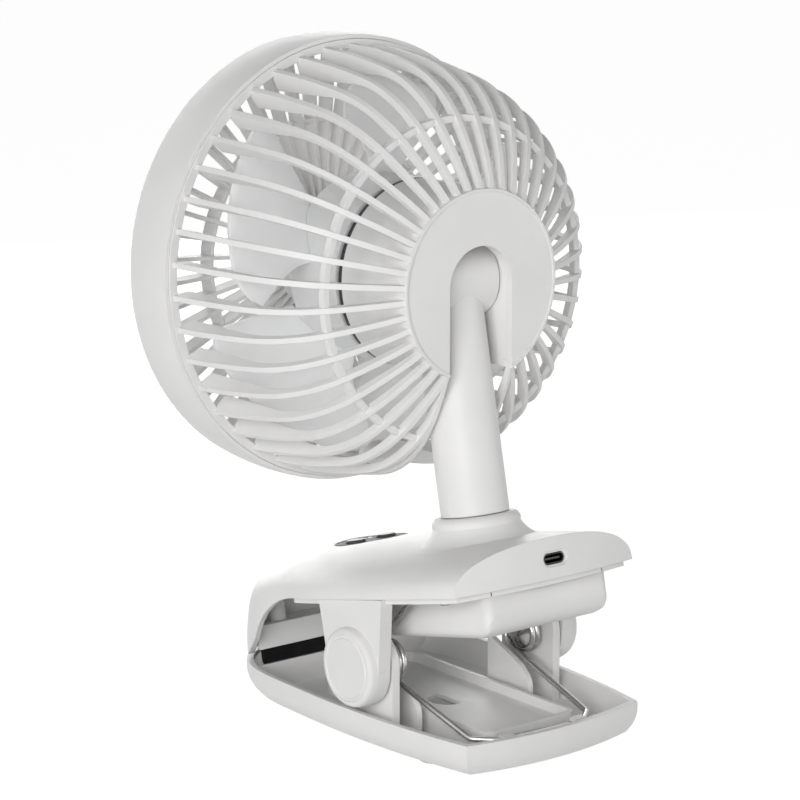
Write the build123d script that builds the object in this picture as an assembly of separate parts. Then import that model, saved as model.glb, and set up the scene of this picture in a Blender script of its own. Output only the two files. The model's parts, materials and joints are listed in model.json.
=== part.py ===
from build123d import *
import os
from math import asin, atan, cos, degrees, pi, radians, sin, sqrt

# Clip fan. Millimetres, +Z up, X across, air blows toward -Y.
# The origin lies on the floor, under the middle of the lower clip half.

# ---------------------------------------------------------------- driving dimensions
# stance
PIVOT_Y = 11.0  # clip pivot, behind the origin
PIVOT_Z = 31.5  # clip pivot above the floor
REST_TILT = 12.0  # nose-down lean of the closed upper clip half, degrees

# shared outline of both clip halves
CLIP_HALF_WIDTH = 46.0
REAR_BOW = 5.0
WALL = 2.0

# lower jaw
JAW_LENGTH = 143.9
JAW_REAR_DRAW = 7.0  # how much narrower the rear edge is, each side
JAW_REAR_HALF = CLIP_HALF_WIDTH - JAW_REAR_DRAW
JAW_FLOOR_Z = 3.0
JAW_EDGE_Z = 4.8  # where the sides turn into the shallow belly
JAW_RIM_Z = 16.0
JAW_REAR_Y = 70.5
JAW_DRAFT = 3.5
JAW_TURN = 3.6  # height of the rounded lower edge
BELLY_INSET = 12.0
ROOT_LIFT = 1.6  # inner forms start inside the floor, this high over its underside
CRADLE_HALF_WIDTH = 20.4
CRADLE_REAR_Y = 54.7
CRADLE_FRONT_Y = -38.0
CRADLE_RIM_Z = 13.6
CRADLE_FLOOR_Z = 10.0
CRADLE_WALL = 1.6
CRADLE_CORNER = 4.0
WINDOW_RADIUS = 7.0
WINDOW_Y = 7.5
WINDOW_TONGUE_X = -1.5
GRIP_INSET = 5.0
GRIP_HALF_WIDTH = CLIP_HALF_WIDTH - GRIP_INSET
LEDGE_Z = 10.0
LEDGE_FRONT = 3.0  # reach of the rear ledge in front of the spring's bend
TAB_X = 16.0
TAB_WIDTH = 5.0
TAB_THICKNESS = 1.4
WIRE_GAP = 0.2
JAW_OVERLAP = 0.8  # how far inner forms run into the tray's wall
FOOT_SEAT = 0.8
GRIP_REAR_Y = -52.5
GRIP_TOP_Z = 15.0
FOOT_RADIUS = 6.0
FOOT_X = 26.0
FOOT_REAR_Y = 33.0
FOOT_FRONT_Y = -42.0

# hinge of the clip
EAR_INSET = 1.2  # the ears stand this far inside the widest outline
EAR_OUTER_X = CLIP_HALF_WIDTH - EAR_INSET
EAR_THICKNESS = 5.2
EAR_RADIUS = 14.2
EAR_STEP = 0.1  # the ear's round edge stands proud of its cap and of the lower ear
EAR_FRONT_ROOT = -15.0
EAR_REAR_ROOT = 20.9
EAR_ROOT_GAP = 0.2
EAR_GAP = 1.1
LOWER_EAR_THICKNESS = 3.2
LOWER_EAR_RADIUS = EAR_RADIUS - EAR_STEP
PIN_RADIUS = 3.0
PIN_CLEARANCE = 0.06
CAP_RADIUS = EAR_RADIUS - EAR_STEP
CAP_HEIGHT = 3.2
CAP_DISC_INSET = 3.3
CAP_DISC_RADIUS = CAP_RADIUS - CAP_DISC_INSET
WEB_THICKNESS = 2.0

# torsion spring
WIRE_RADIUS = 1.0
LEG_WIRE_STEP = 0.05  # the straight ends are a hair thinner where they run into the coils
LEG_WIRE_RADIUS = WIRE_RADIUS - LEG_WIRE_STEP
WIRE_LAP = 0.5
COIL_RADIUS = 6.7
COIL_TURN_GAP = 0.05
COIL_PITCH = 2 * WIRE_RADIUS + COIL_TURN_GAP
COIL_SIDE_GAP = 0.4
COIL_WHOLE_TURNS = 2
LEG_ANGLE = 17.9  # fall of the lower legs toward the rear, degrees
LEG_END_Y = 51.6
LEG_END_X = 27.0
BEND_Y = 59.3
BEND_HALF_WIDTH = 19.0
BEND_RADIUS = 3.5
ARM_ANGLE = 46.0  # rise of the upper arms, degrees
ARM_STUB = 6.0  # straight end that stays with the coil
ARM_GAP = 0.3

# upper clip half, measured from the pivot, before it leans
SHELL_BASE = 23.7
SHELL_TOP = 38.0
SHELL_REAR = 60.6
SHELL_LENGTH = 146.1
SHELL_REAR_DRAW = 5.8
SHELL_REAR_HALF = CLIP_HALF_WIDTH - SHELL_REAR_DRAW
ARCH_POWER = 2.3  # fullness of the arched cross-section
NOSE_START = -51.0
NOSE_BASE = -4.0
CUTOUT_START = -27.0
CUTOUT_WAIST = (-46.6, 19.5)
CUTOUT_TURN = (-59.0, 8.2)
CUTOUT_FLARE = (-63.9, 4.7)
CUTOUT_END = (-73.0, 0.9)
MOUTH_Z = 18.0  # world height of the shell's front lip
COIL_EAR_GAP = 0.638875  # beside the outermost turn
BOX_FRONT = -16.0
BOX_REAR = 56.2
BOX_BOTTOM = 7.3
BOX_CORNER = 8.0
TRAY_THICKNESS = 2.0
TRAY_FRONT = -32.0
JAW_PLATE_REAR = -65.0
JAW_PLATE_BOTTOM = 2.8
JAW_PLATE_TOP = 11.4
PAD_GAP = 0.3
PLATE_GAP = 0.3
PLATE_SCREW_X = 24.0
PLATE_POST_TOP = 19.0
POST_GAP = 0.2  # between the roof and what hangs under it
TRAY_SCREW_LENGTH = 8.0
BOSS_RADIUS = 3.2
SCREW_RADIUS = 1.0
SCREW_HEAD = 2.2
SCREW_HEAD_HEIGHT = 1.4
SCREW_SINK = 1.8
TRAY_SCREW_OUT = 6.0  # from the battery box's side
TRAY_SCREW_FRONT = -22.0
TRAY_SCREW_REAR = 42.0
PLATE_INSET = 2.3
BOX_WALL = 1.8
BOX_SIDE_CORNER = 3.0
BOX_INNER_ROUND = 4.0
SADDLE_REACH = 20.0  # cell saddles, in front of and behind the box's middle
SADDLE_THICKNESS = 2.0
SADDLE_HEIGHT = 6.0
SADDLE_GAP = 0.05

# controls and electronics
PANEL_Y = -40.0
PANEL_HALF_X = 15.0
PANEL_HALF_Y = 11.0
PANEL_DEPTH = 1.3
BUTTON_RADIUS = 3.6
BUTTON_X = 7.0
BUTTON_GAP = 0.25
BUTTON_TRAVEL = 0.6
BUTTON_REST = 0.05
SWITCH_HEIGHT = 0.4
PANEL_SINK = 0.4  # the panel lies this far under the shell's crown
BUTTON_PROUD = 1.0
BUTTON_HEIGHT = 2.6
INDICATOR_RADIUS = 0.9
INDICATOR_STEP = 3.0
INDICATOR_ROW = 6.4
BOARD_TOP = 32.0
BOARD_FRONT = 10.0
BOARD_REAR = 14.0
PORT_CHAMFER = 0.7
CELL_GAP = 0.2
CELL_LIFT = 2.6
CELL_NUB = 0.7
PORT_WIDTH = 9.6
PORT_HEIGHT = 4.0
PORT_Z = 30.5
PORT_X = -1.2
CELL_RADIUS = 9.2
CELL_LENGTH = 65.0
BOARD_THICKNESS = 0.8

# neck, along its own axis, measured from the pivot before the lean
NECK_Y = 22.2
NECK_RADIUS = 12.1
NECK_BORE = 6.0
COLLAR_TOP = 46.3
COLLAR_STEP = 1.9
COLLAR_RADIUS = NECK_RADIUS + COLLAR_STEP
COLLAR_FLARE = 12.0
COLLAR_ROOT = 3.0
SWIVEL_GAP = 0.3
SPIGOT_STEP = 2.6
SPIGOT_RADIUS = NECK_RADIUS - SPIGOT_STEP
SPIGOT_CLEARANCE = 0.1
RETAINER_REACH = 3.5
RETAINER_RADIUS = SPIGOT_RADIUS + RETAINER_REACH
RETAINER_HEIGHT = 2.4
SPIGOT_LOW = 31.0
WIRE_COVER = 1.9
KNUCKLE_HEIGHT = 129.0
KNUCKLE_RADIUS = 14.1
KNUCKLE_HALF_LENGTH = 13.2
KNUCKLE_ROUND = 0.5
AXLE_HOLD = 1.8  # how far the axle reaches into each cheek
AXLE_RADIUS = 3.0
AXLE_CLEARANCE = 0.06

# head, measured forward from the back disc along the fan axis
DISC_STEP = 0.3  # the disc is this much smaller than the drum in front of it
DISC_THICKNESS = 2.6
SLOT_GAP = 0.6
SLOT_HALF_WIDTH = KNUCKLE_HALF_LENGTH + SLOT_GAP
AXLE_HALF_LENGTH = SLOT_HALF_WIDTH + AXLE_HOLD
ARCH_DEPTH = 5.3
POCKET_TOP = 14.6
KNUCKLE_DEPTH = 19.7  # knuckle centre in front of the back disc
GUARD_DEPTH = 73.8
GUARD_RADIUS = 78.0
RIB_COUNT = 42
RIB_THICKNESS = 2.0
RIB_DEPTH_RIM = 7.8
RIB_DEPTH_SHOULDER = 5.0
RIB_DEPTH_DISC = 4.5
BASE_RING_PROUD = 1.4
BASE_RING_RADIUS = GUARD_RADIUS + BASE_RING_PROUD
BASE_RING_WIDTH = 3.2
MID_RING_OUT = 24.3  # from the disc's edge
MID_RING_WIDTH = 2.4
MID_RING_DEPTH = 2.8
MID_RING_PLACE = 13.4
SKIRT_DEPTH = 4.8
SKIRT_WALL = 1.8
DISC_PROUD = 0.5
RIB_PHASE = 90.0  # where the first rib stands, degrees
LIP_PROUD = 0.8
SPIGOT_REACH = 6.0
CHANNEL_WALL = 1.8
CHANNEL_SHRINK = 0.993  # the channel's walls end just inside the ribs' outer line
HOUSING_RADIUS = 33.4
DISC_RADIUS = HOUSING_RADIUS - DISC_STEP
MID_RING_RADIUS = DISC_RADIUS + MID_RING_OUT
HOUSING_DEPTH = 35.0
HOUSING_WALL = 2.0
POCKET_WALL = 2.2
BAND_PROUD = 3.3
BAND_RADIUS = GUARD_RADIUS + BAND_PROUD
BAND_FRONT = 97.5
LIP_STEP = 0.4
LIP_RADIUS = BAND_RADIUS - LIP_STEP
LIP_WALL = 1.4
GRILLE_VANES = 48
GRILLE_DEPTH = 8.0
GRILLE_FRONT = 97.0
VANE_THICKNESS = 1.4
CAP_OUTER = 21.0
GRILLE_RING = 50.0

# motor and impeller
MOUNT_RING_DEPTH = 1.8
STATOR_RADIUS = 17.0
STATOR_LENGTH = 14.0
POLE_COUNT = 9
BEARING_RADIUS = 5.0
ROTOR_RADIUS = 20.0
SHAFT_RADIUS = 1.5
HUB_RADIUS = HOUSING_RADIUS
HUB_REAR = 38.6
HUB_FRONT = 70.0
HUB_WALL = 1.8
HUB_ROUND = 7.0
BOSS_LENGTH = 8.0
BLADE_COUNT = 5
BLADE_CAMBER = 0.06
BLADE_TIP_ROOM = 10.0
BLADE_TIP_RADIUS = GUARD_RADIUS - BLADE_TIP_ROOM
BLADE_THICKNESS = 1.8
BLADE_MID = 58.3  # depth of the blades' middle line
BLADE_LEAD = 145.0  # advance of the blades' helix in one turn
BLADE_PHASE = 28.0  # where the first blade's middle stands, degrees

# ---------------------------------------------------------------- frames
UPPER = Location((0, PIVOT_Y, PIVOT_Z), (REST_TILT, 0, 0))
LEAN = radians(REST_TILT)
KNUCKLE_Y = PIVOT_Y + NECK_Y * cos(LEAN) - KNUCKLE_HEIGHT * sin(LEAN)
KNUCKLE_Z = PIVOT_Z + NECK_Y * sin(LEAN) + KNUCKLE_HEIGHT * cos(LEAN)
HEAD = Location((0, KNUCKLE_Y + KNUCKLE_DEPTH, KNUCKLE_Z), (90, 0, 0))
KNUCKLE_LOCAL = Pos(0, 0, KNUCKLE_DEPTH) * Rot(0, 90, 0)

EAR_INNER_X = EAR_OUTER_X - EAR_THICKNESS
LOWER_EAR_OUTER_X = EAR_INNER_X - EAR_GAP
LOWER_EAR_INNER_X = LOWER_EAR_OUTER_X - LOWER_EAR_THICKNESS
WEB_X = CRADLE_HALF_WIDTH + 5.2
COIL_TURNS = COIL_WHOLE_TURNS + (180 - ARM_ANGLE - LEG_ANGLE) / 360
COIL_LENGTH = COIL_PITCH * COIL_TURNS + 2 * WIRE_RADIUS
BOX_HALF_WIDTH = LOWER_EAR_INNER_X - COIL_EAR_GAP - COIL_LENGTH - COIL_SIDE_GAP
TRAY_SCREW_X = BOX_HALF_WIDTH + TRAY_SCREW_OUT
COIL_START_X = BOX_HALF_WIDTH + COIL_SIDE_GAP + WIRE_RADIUS
JAW_ROOT_Z = JAW_FLOOR_Z + ROOT_LIFT


# ---------------------------------------------------------------- helpers
def slab(points, thickness, middle=0.0):
    """Solid from a YZ outline, its thickness along X centred on middle."""
    face = make_face(Polyline(*points, close=True))
    return Pos(middle, 0, 0) * extrude(Plane.YZ * face, amount=thickness / 2, both=True)


def block(x0, x1, y0, y1, z0, z1):
    """Box between two corners."""
    middle = Pos((x0 + x1) / 2, (y0 + y1) / 2, (z0 + z1) / 2)
    return middle * Box(x1 - x0, y1 - y0, z1 - z0)


def disc_x(radius, x0, x1, y=0.0, z=0.0):
    """Round bar along X."""
    return Pos((x0 + x1) / 2, y, z) * Rot(0, 90, 0) * Cylinder(radius, abs(x1 - x0))


def tube_z(outer, inner, z0, z1):
    """Round tube along Z."""
    middle = Pos(0, 0, (z0 + z1) / 2)
    return middle * (Cylinder(outer, z1 - z0) - Cylinder(inner, z1 - z0 + 1))


def both_sides(shape):
    """The shape and its mirror image across the middle plane."""
    return [shape, mirror(shape, about=Plane.YZ)]


def write(name, *solids):
    """One STEP file per sub-part."""
    flat = [piece for solid in solids for piece in solid.solids()]
    export_step(flat[0] if len(flat) == 1 else Compound(flat), f"parts/{name}.step")


# ---------------------------------------------------------------- clip outline
def clip_outline(rear, front, rear_half, z, inset=0.0, narrow=1.0):
    """Plan of a clip half: bowed rear edge, swelling sides, blunt rounded nose."""
    half = CLIP_HALF_WIDTH - inset
    corner = rear_half - inset
    bow_radius = (corner**2 + REAR_BOW**2) / (2 * REAR_BOW)
    corner_y = rear - REAR_BOW
    run = corner_y - front
    side = [
        (corner, corner_y),
        (corner + (half - corner) * 0.68, corner_y - run * 0.21),
        (half, corner_y - run * 0.47),
        (half - 0.6, corner_y - run * 0.70),
        (half - 3.8, corner_y - run * 0.86),
        (half - 15.5, corner_y - run * 0.97),
        (0, front),
    ]
    side = [(x * narrow, y) for x, y in side]
    side[0] = (corner * narrow, rear - bow_radius + sqrt(bow_radius**2 - (corner * narrow) ** 2))
    other = [(-x, y) for x, y in reversed(side[:-1])]
    sweep_side = Spline(*[(x, y, z) for x, y in side + other])
    rear_arc = ThreePointArc((*other[-1], z), (0, rear, z), (*side[0], z))
    return make_face([sweep_side, rear_arc])


def shell_outline(z, inset=0.0, front=None, narrow=1.0):
    """Plan of the upper clip half at a height, drawn in by an inset."""
    reach = nose_reach(z, inset) if front is None else front
    return clip_outline(SHELL_REAR - inset, reach, SHELL_REAR_HALF, z, inset, narrow)


def jaw_outline(z, inset=0.0, rear_share=1.0):
    """Plan of the lower jaw at a height, drawn in by an inset."""
    front = JAW_REAR_Y - JAW_LENGTH + inset
    return clip_outline(JAW_REAR_Y - inset * rear_share, front, JAW_REAR_HALF, z, inset)


def nose_reach(z, inset=0.0):
    """Front end of the upper shell at a height, an elliptic dome."""
    front = SHELL_REAR - SHELL_LENGTH + inset
    rise = min(max((z - NOSE_BASE) / (SHELL_TOP - inset - NOSE_BASE), 0.0), 0.9995)
    return NOSE_START - (NOSE_START - front) * sqrt(1 - rise**2)


def shell_body(inset=0.0):
    """Domed body of the upper shell, or the hollow inside it: an arch over straight sides."""
    rise = SHELL_TOP - inset - SHELL_BASE
    sections = [shell_outline(SHELL_BASE * i / 4, inset) for i in range(5)]
    for share in (0.25, 0.45, 0.62, 0.76, 0.87, 0.94, 0.98, 0.998):
        narrow = (1 - share**ARCH_POWER) ** (1 / ARCH_POWER)
        sections.append(shell_outline(SHELL_BASE + rise * share, inset, narrow=narrow))
    return loft(sections)


# ---------------------------------------------------------------- lower clip half
def jaw_body(inset=0.0):
    """Tray of the lower jaw with rounded lower edge and flat belly, or the hollow inside it."""
    low = JAW_EDGE_Z + inset
    levels = [(low, JAW_DRAFT), (low + JAW_TURN, 1.0), (JAW_RIM_Z + (1 if inset else 0), 0.0)]
    sections = [
        jaw_outline(z, inset + draft, (inset + draft * 0.6) / max(inset + draft, 1)) for z, draft in levels
    ]
    belly = [
        jaw_outline(low + 0.3, inset + JAW_DRAFT),
        jaw_outline(JAW_FLOOR_Z + inset, inset + BELLY_INSET),
    ]
    return loft(sections) + loft(belly)


def lower_ear():
    """Hinge ear that rises from the jaw's floor, round about the pivot."""
    r = LOWER_EAR_RADIUS
    plate = block(
        LOWER_EAR_INNER_X, LOWER_EAR_OUTER_X, PIVOT_Y - r, PIVOT_Y + r, JAW_ROOT_Z, PIVOT_Z
    )
    plate += disc_x(r, LOWER_EAR_INNER_X, LOWER_EAR_OUTER_X, PIVOT_Y, PIVOT_Z)
    return plate - disc_x(PIN_RADIUS, 0, EAR_OUTER_X, PIVOT_Y, PIVOT_Z)


def spring_web():
    """Curved web inboard of the coil, that carries the inner end of the hinge pin."""
    base = JAW_ROOT_Z
    front = PIVOT_Y - 9.7
    rear = PIVOT_Y + 13.3
    crown = (PIVOT_Y + 4.6, PIVOT_Z + 2.2)
    foot = (rear, base + 8)
    edges = [
        Line(foot, (rear, base)),
        Line((rear, base), (front, base)),
        Line((front, base), (front, PIVOT_Z - 1.5)),
        ThreePointArc((front, PIVOT_Z - 1.5), (PIVOT_Y - 2.0, PIVOT_Z + 5.6), crown),
        Spline(crown, (PIVOT_Y + 8, PIVOT_Z - 10.5), foot, tangents=[(0.3, -1), (0, -1)]),
    ]
    web = Pos(WEB_X, 0, 0) * extrude(Plane.YZ * make_face(edges), amount=WEB_THICKNESS / 2, both=True)
    return web - disc_x(PIN_RADIUS, 0, EAR_OUTER_X, PIVOT_Y, PIVOT_Z)


def wire_tab(x):
    """Hook on the rear ledge that holds the spring's bend down."""
    wire_top = LEDGE_Z + 2 * WIRE_RADIUS + WIRE_GAP
    half = TAB_WIDTH / 2
    rear = BEND_Y + WIRE_RADIUS + WIRE_GAP
    post = block(x - half, x + half, rear, rear + TAB_THICKNESS, LEDGE_Z - 1, wire_top + TAB_THICKNESS)
    lip = block(x - half, x + half, BEND_Y - 1.0, rear, wire_top, wire_top + TAB_THICKNESS)
    return post + lip


def grip_platform(inside):
    """Raised floor at the jaw's front, that meets the pad."""
    area = block(-GRIP_HALF_WIDTH, GRIP_HALF_WIDTH, -100, GRIP_REAR_Y, 0, GRIP_TOP_Z)
    return inside & area


def cradle():
    """Shallow open box between the webs, under the battery box."""
    half = CRADLE_HALF_WIDTH
    shape = block(-half, half, CRADLE_FRONT_Y, CRADLE_REAR_Y, JAW_ROOT_Z, CRADLE_RIM_Z)
    shape = fillet(shape.edges().filter_by(Axis.Z), CRADLE_CORNER)
    w = CRADLE_WALL
    hollow = block(
        -half + w, half - w, CRADLE_FRONT_Y + w, CRADLE_REAR_Y - w, CRADLE_FLOOR_Z, CRADLE_RIM_Z + 1
    )
    hollow = fillet(hollow.edges().filter_by(Axis.Z), CRADLE_CORNER - w)
    window = Pos(0, WINDOW_Y, 0) * Cylinder(WINDOW_RADIUS, 2 * CRADLE_RIM_Z)
    window = window & block(-30, 30, -60, 60, JAW_FLOOR_Z + WALL, CRADLE_RIM_Z)
    tongue = block(-30, WINDOW_TONGUE_X, -60, 60, CRADLE_FLOOR_Z - 1.4, CRADLE_FLOOR_Z)
    return shape - hollow - (window - tongue)


def lower_jaw():
    """Tray of the lower clip half with its ears, webs, cradle and spring ledge."""
    jaw = jaw_body() - jaw_body(WALL)
    inside = jaw_body(WALL - JAW_OVERLAP)
    ledge = inside & block(-60, 60, BEND_Y - LEDGE_FRONT, JAW_REAR_Y, 0, LEDGE_Z)
    tabs = [wire_tab(x) for x in (-TAB_X, TAB_X)]
    jaw = jaw + [cradle(), grip_platform(inside), ledge] + both_sides(lower_ear()) + both_sides(spring_web())
    jaw = jaw + tabs
    for x, y in foot_places():
        jaw -= Pos(x, y, JAW_FLOOR_Z) * Cylinder(FOOT_RADIUS, 2 * FOOT_SEAT)
    return jaw


def foot_places():
    """Centres of the four feet."""
    return [(x, y) for x in (-FOOT_X, FOOT_X) for y in (FOOT_REAR_Y, FOOT_FRONT_Y)]


def rubber_feet():
    """Four round feet, let into the jaw's underside."""
    foot = Pos(0, 0, (JAW_FLOOR_Z + FOOT_SEAT) / 2) * Cylinder(FOOT_RADIUS - 0.02, JAW_FLOOR_Z + FOOT_SEAT)
    foot = chamfer(foot.edges().group_by(Axis.Z)[0], 0.6)
    return [Pos(x, y, 0) * foot for x, y in foot_places()]


def hinge_pins():
    """Steel pins, pressed into the jaw's ears and webs."""
    pin = disc_x(PIN_RADIUS - 0.01, WEB_X - WEB_THICKNESS / 2, EAR_OUTER_X - 0.4, PIVOT_Y, PIVOT_Z)
    return both_sides(pin)


def wire_along(points, bend):
    """Round spring wire through straight runs with rounded corners."""
    path = FilletPolyline(*points, radius=bend)
    start = path % 0
    section = Plane(origin=path @ 0, z_dir=start) * Circle(LEG_WIRE_RADIUS)
    return sweep(section, path=path)


def coil():
    """Coil of the torsion spring about the pivot, with the first stretch of its arm."""
    fall = radians(LEG_ANGLE)
    helix = Helix(COIL_PITCH, COIL_PITCH * COIL_TURNS, COIL_RADIUS, lefthand=True)
    wire = sweep(Plane(origin=helix @ 0, z_dir=helix % 0) * Circle(WIRE_RADIUS), path=helix, is_frenet=True)
    start = Plane((COIL_START_X, PIVOT_Y, PIVOT_Z), x_dir=(0, -sin(fall), -cos(fall)), z_dir=(1, 0, 0))
    return [start.location * wire, arm_bar(COIL_START_X + COIL_PITCH * COIL_TURNS, -WIRE_LAP, ARM_STUB)]


def arm_bar(x, start, end):
    """Straight wire along the upper arm's line, between two distances from its tangent point."""
    rise = radians(ARM_ANGLE)
    middle = (start + end) / 2
    y = PIVOT_Y - COIL_RADIUS * sin(rise) + middle * cos(rise)
    z = PIVOT_Z + COIL_RADIUS * cos(rise) + middle * sin(rise)
    return Pos(x, y, z) * Rot(ARM_ANGLE - 90, 0, 0) * Cylinder(LEG_WIRE_RADIUS, end - start)


def torsion_spring():
    """Two coils joined by two legs and a bend under the rear tabs."""
    z = LEDGE_Z + WIRE_RADIUS + WIRE_GAP / 2
    fall = radians(LEG_ANGLE)
    start = (
        COIL_START_X,
        PIVOT_Y - COIL_RADIUS * sin(fall) - WIRE_LAP * cos(fall),
        PIVOT_Z - COIL_RADIUS * cos(fall) + WIRE_LAP * sin(fall),
    )
    right = [start, (LEG_END_X, LEG_END_Y, z), (BEND_HALF_WIDTH, BEND_Y, z)]
    left = [(-px, py, pz) for px, py, pz in reversed(right)]
    wires = coil()
    return wire_along(right + left, BEND_RADIUS) + wires + [mirror(wire, about=Plane.YZ) for wire in wires]


def spring_arms():
    """Upper ends of the spring, that push the upper clip half."""
    slope = radians(ARM_ANGLE - REST_TILT)
    rise = SHELL_BASE - TRAY_THICKNESS - (COIL_RADIUS + LEG_WIRE_RADIUS) * cos(slope)
    arm = arm_bar(COIL_START_X + COIL_PITCH * COIL_TURNS, ARM_STUB + ARM_GAP, rise / sin(slope) - 0.1)
    return both_sides(arm)


# ---------------------------------------------------------------- upper clip half
def world_floor_cut(height):
    """Everything below a world height, in the upper half's own frame."""
    return UPPER.inverse() * Pos(0, 0, height - 100) * Box(300, 400, 200)


def collar():
    """Flared collar on the shell, the neck's swivel bearing."""
    r = COLLAR_RADIUS
    bore = SPIGOT_RADIUS + SPIGOT_CLEARANCE
    low = SHELL_TOP - COLLAR_ROOT
    flare = r + COLLAR_FLARE
    shoulder = (r + 1.5, COLLAR_TOP - 3.7)
    edges = [
        Line((bore, low), (flare, low)),
        Line((flare, low), (flare, SHELL_TOP - 1.8)),
        ThreePointArc((flare, SHELL_TOP - 1.8), (r + 4.2, SHELL_TOP + 0.9), shoulder),
        ThreePointArc(shoulder, (r + 1.2, COLLAR_TOP - 1.2), (r - 0.6, COLLAR_TOP)),
        Line((r - 0.6, COLLAR_TOP), (bore, COLLAR_TOP)),
        Line((bore, COLLAR_TOP), (bore, low)),
    ]
    return Pos(0, NECK_Y, 0) * revolve(Plane.XZ * make_face(edges), Axis.Z)


def port_slot(depth, grow=0.0):
    """Rounded slot of the charging port, cut in from the rear wall."""
    slot = SlotOverall(PORT_WIDTH + 2 * grow, PORT_HEIGHT + 2 * grow)
    start = Plane(origin=(PORT_X, SHELL_REAR + 1, PORT_Z), x_dir=(1, 0, 0), z_dir=(0, -1, 0))
    return extrude(start * slot, amount=depth + 1)


def tray_screw_places():
    """Where the four screws hold the tray under the shell."""
    return [(x, y) for x in (-TRAY_SCREW_X, TRAY_SCREW_X) for y in (TRAY_SCREW_FRONT, TRAY_SCREW_REAR)]


def indicator_places():
    """The row of indicator lights in front of the buttons."""
    return [(step * INDICATOR_STEP, PANEL_Y - INDICATOR_ROW) for step in (-1.5, -0.5, 0.5, 1.5)]


def side_cutout():
    """Swept arch cut out of both sides, flared into the front lip."""
    edges = [
        Line((100, -20), (100, SHELL_BASE)),
        Line((100, SHELL_BASE), (CUTOUT_START, SHELL_BASE)),
        ThreePointArc((CUTOUT_START, SHELL_BASE), CUTOUT_WAIST, CUTOUT_TURN),
        ThreePointArc(CUTOUT_TURN, CUTOUT_FLARE, CUTOUT_END),
        Line(CUTOUT_END, (CUTOUT_END[0], -20)),
        Line((CUTOUT_END[0], -20), (100, -20)),
    ]
    return extrude(Plane.YZ * make_face(edges), amount=60, both=True)


def upper_shell():
    """Domed cover with the side cut-outs, the collar and the wells of the controls."""
    shell = shell_body() - shell_body(WALL) - (side_cutout() + world_floor_cut(MOUTH_Z))
    low_bosses = [(place, SHELL_BASE) for place in tray_screw_places()]
    low_bosses += [(place, PLATE_POST_TOP) for place in plate_screw_places()]
    bosses = [Pos(x, y, 0) * tube_z(BOSS_RADIUS, SCREW_RADIUS, z, SHELL_TOP) for (x, y), z in low_bosses]
    middle = shell_body(WALL / 2)
    shell = shell + [collar()] + [boss & middle for boss in bosses]
    shell -= Pos(0, NECK_Y, SHELL_TOP) * Cylinder(SPIGOT_RADIUS + SPIGOT_CLEARANCE, 30)
    recess = extrude(Ellipse(PANEL_HALF_X, PANEL_HALF_Y), amount=2 * PANEL_DEPTH)
    shell -= Pos(0, PANEL_Y, SHELL_TOP - PANEL_DEPTH) * recess
    for x in (-BUTTON_X, BUTTON_X):
        shell -= Pos(x, PANEL_Y, SHELL_TOP) * Cylinder(BUTTON_RADIUS + BUTTON_GAP, 8)
    for x, y in indicator_places():
        shell -= Pos(x, y, SHELL_TOP) * Cylinder(INDICATOR_RADIUS + 0.1, 8)
    return UPPER * (shell - port_slot(WALL + 3) - port_slot(PORT_CHAMFER, PORT_CHAMFER))


def under_roof(shapes):
    """The shapes, trimmed just short of the shell's roof and walls."""
    room = shell_body(WALL + POST_GAP)
    return [shape & room for shape in shapes]


def outer_ear():
    """Side ear of the tray, round about the pivot and wider at its root."""
    root = SHELL_BASE - EAR_ROOT_GAP
    outline = [(-EAR_RADIUS, 0), (EAR_RADIUS, -2), (EAR_REAR_ROOT, root), (EAR_FRONT_ROOT, root)]
    ear = slab(outline, EAR_THICKNESS, EAR_INNER_X + EAR_THICKNESS / 2)
    ear += disc_x(EAR_RADIUS, EAR_INNER_X, EAR_OUTER_X)
    return ear - disc_x(PIN_RADIUS + PIN_CLEARANCE, 0, EAR_OUTER_X + 1)


def box_form(inset, corner, low_round):
    """Battery box, or its hollow: upright corners and wider rounded lower edges."""
    half = BOX_HALF_WIDTH - inset
    top = SHELL_BASE + (1 if inset else 0)
    ends = (BOX_FRONT + inset, BOX_REAR - inset)
    form = block(-half, half, *ends, BOX_BOTTOM + inset, top)
    upright = fillet(form.edges().filter_by(Axis.Z), corner)
    low_edges = form.edges().group_by(Axis.Z)[0]
    across = fillet(low_edges.filter_by(Axis.X), low_round)
    along = fillet(low_edges.filter_by(Axis.Y), low_round)
    return upright & across & along


def battery_tray():
    """Inner frame: closing plate, battery box and the two outer ears."""
    low = SHELL_BASE - TRAY_THICKNESS
    plan = shell_outline(low, PLATE_INSET)
    plate = extrude(plan, amount=TRAY_THICKNESS) & block(-60, 60, TRAY_FRONT, 60, 0, 60)
    box = box_form(0, BOX_SIDE_CORNER, BOX_CORNER)
    hollow = box_form(BOX_WALL, BOX_SIDE_CORNER - BOX_WALL, BOX_INNER_ROUND)
    tray = plate + [box] + both_sides(outer_ear()) - hollow + cell_saddles()
    for x, y in tray_screw_places():
        tray -= Pos(x, y, SHELL_BASE) * Cylinder(SCREW_RADIUS + 0.2, 10)
    return UPPER * tray


def cell_middles():
    """Centres of the two cells, side by side in the box."""
    y = (BOX_FRONT + BOX_REAR) / 2
    z = BOX_BOTTOM + BOX_WALL + CELL_LIFT + CELL_RADIUS
    return [(x, y, z) for x in (-CELL_RADIUS - CELL_GAP, CELL_RADIUS + CELL_GAP)]


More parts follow.
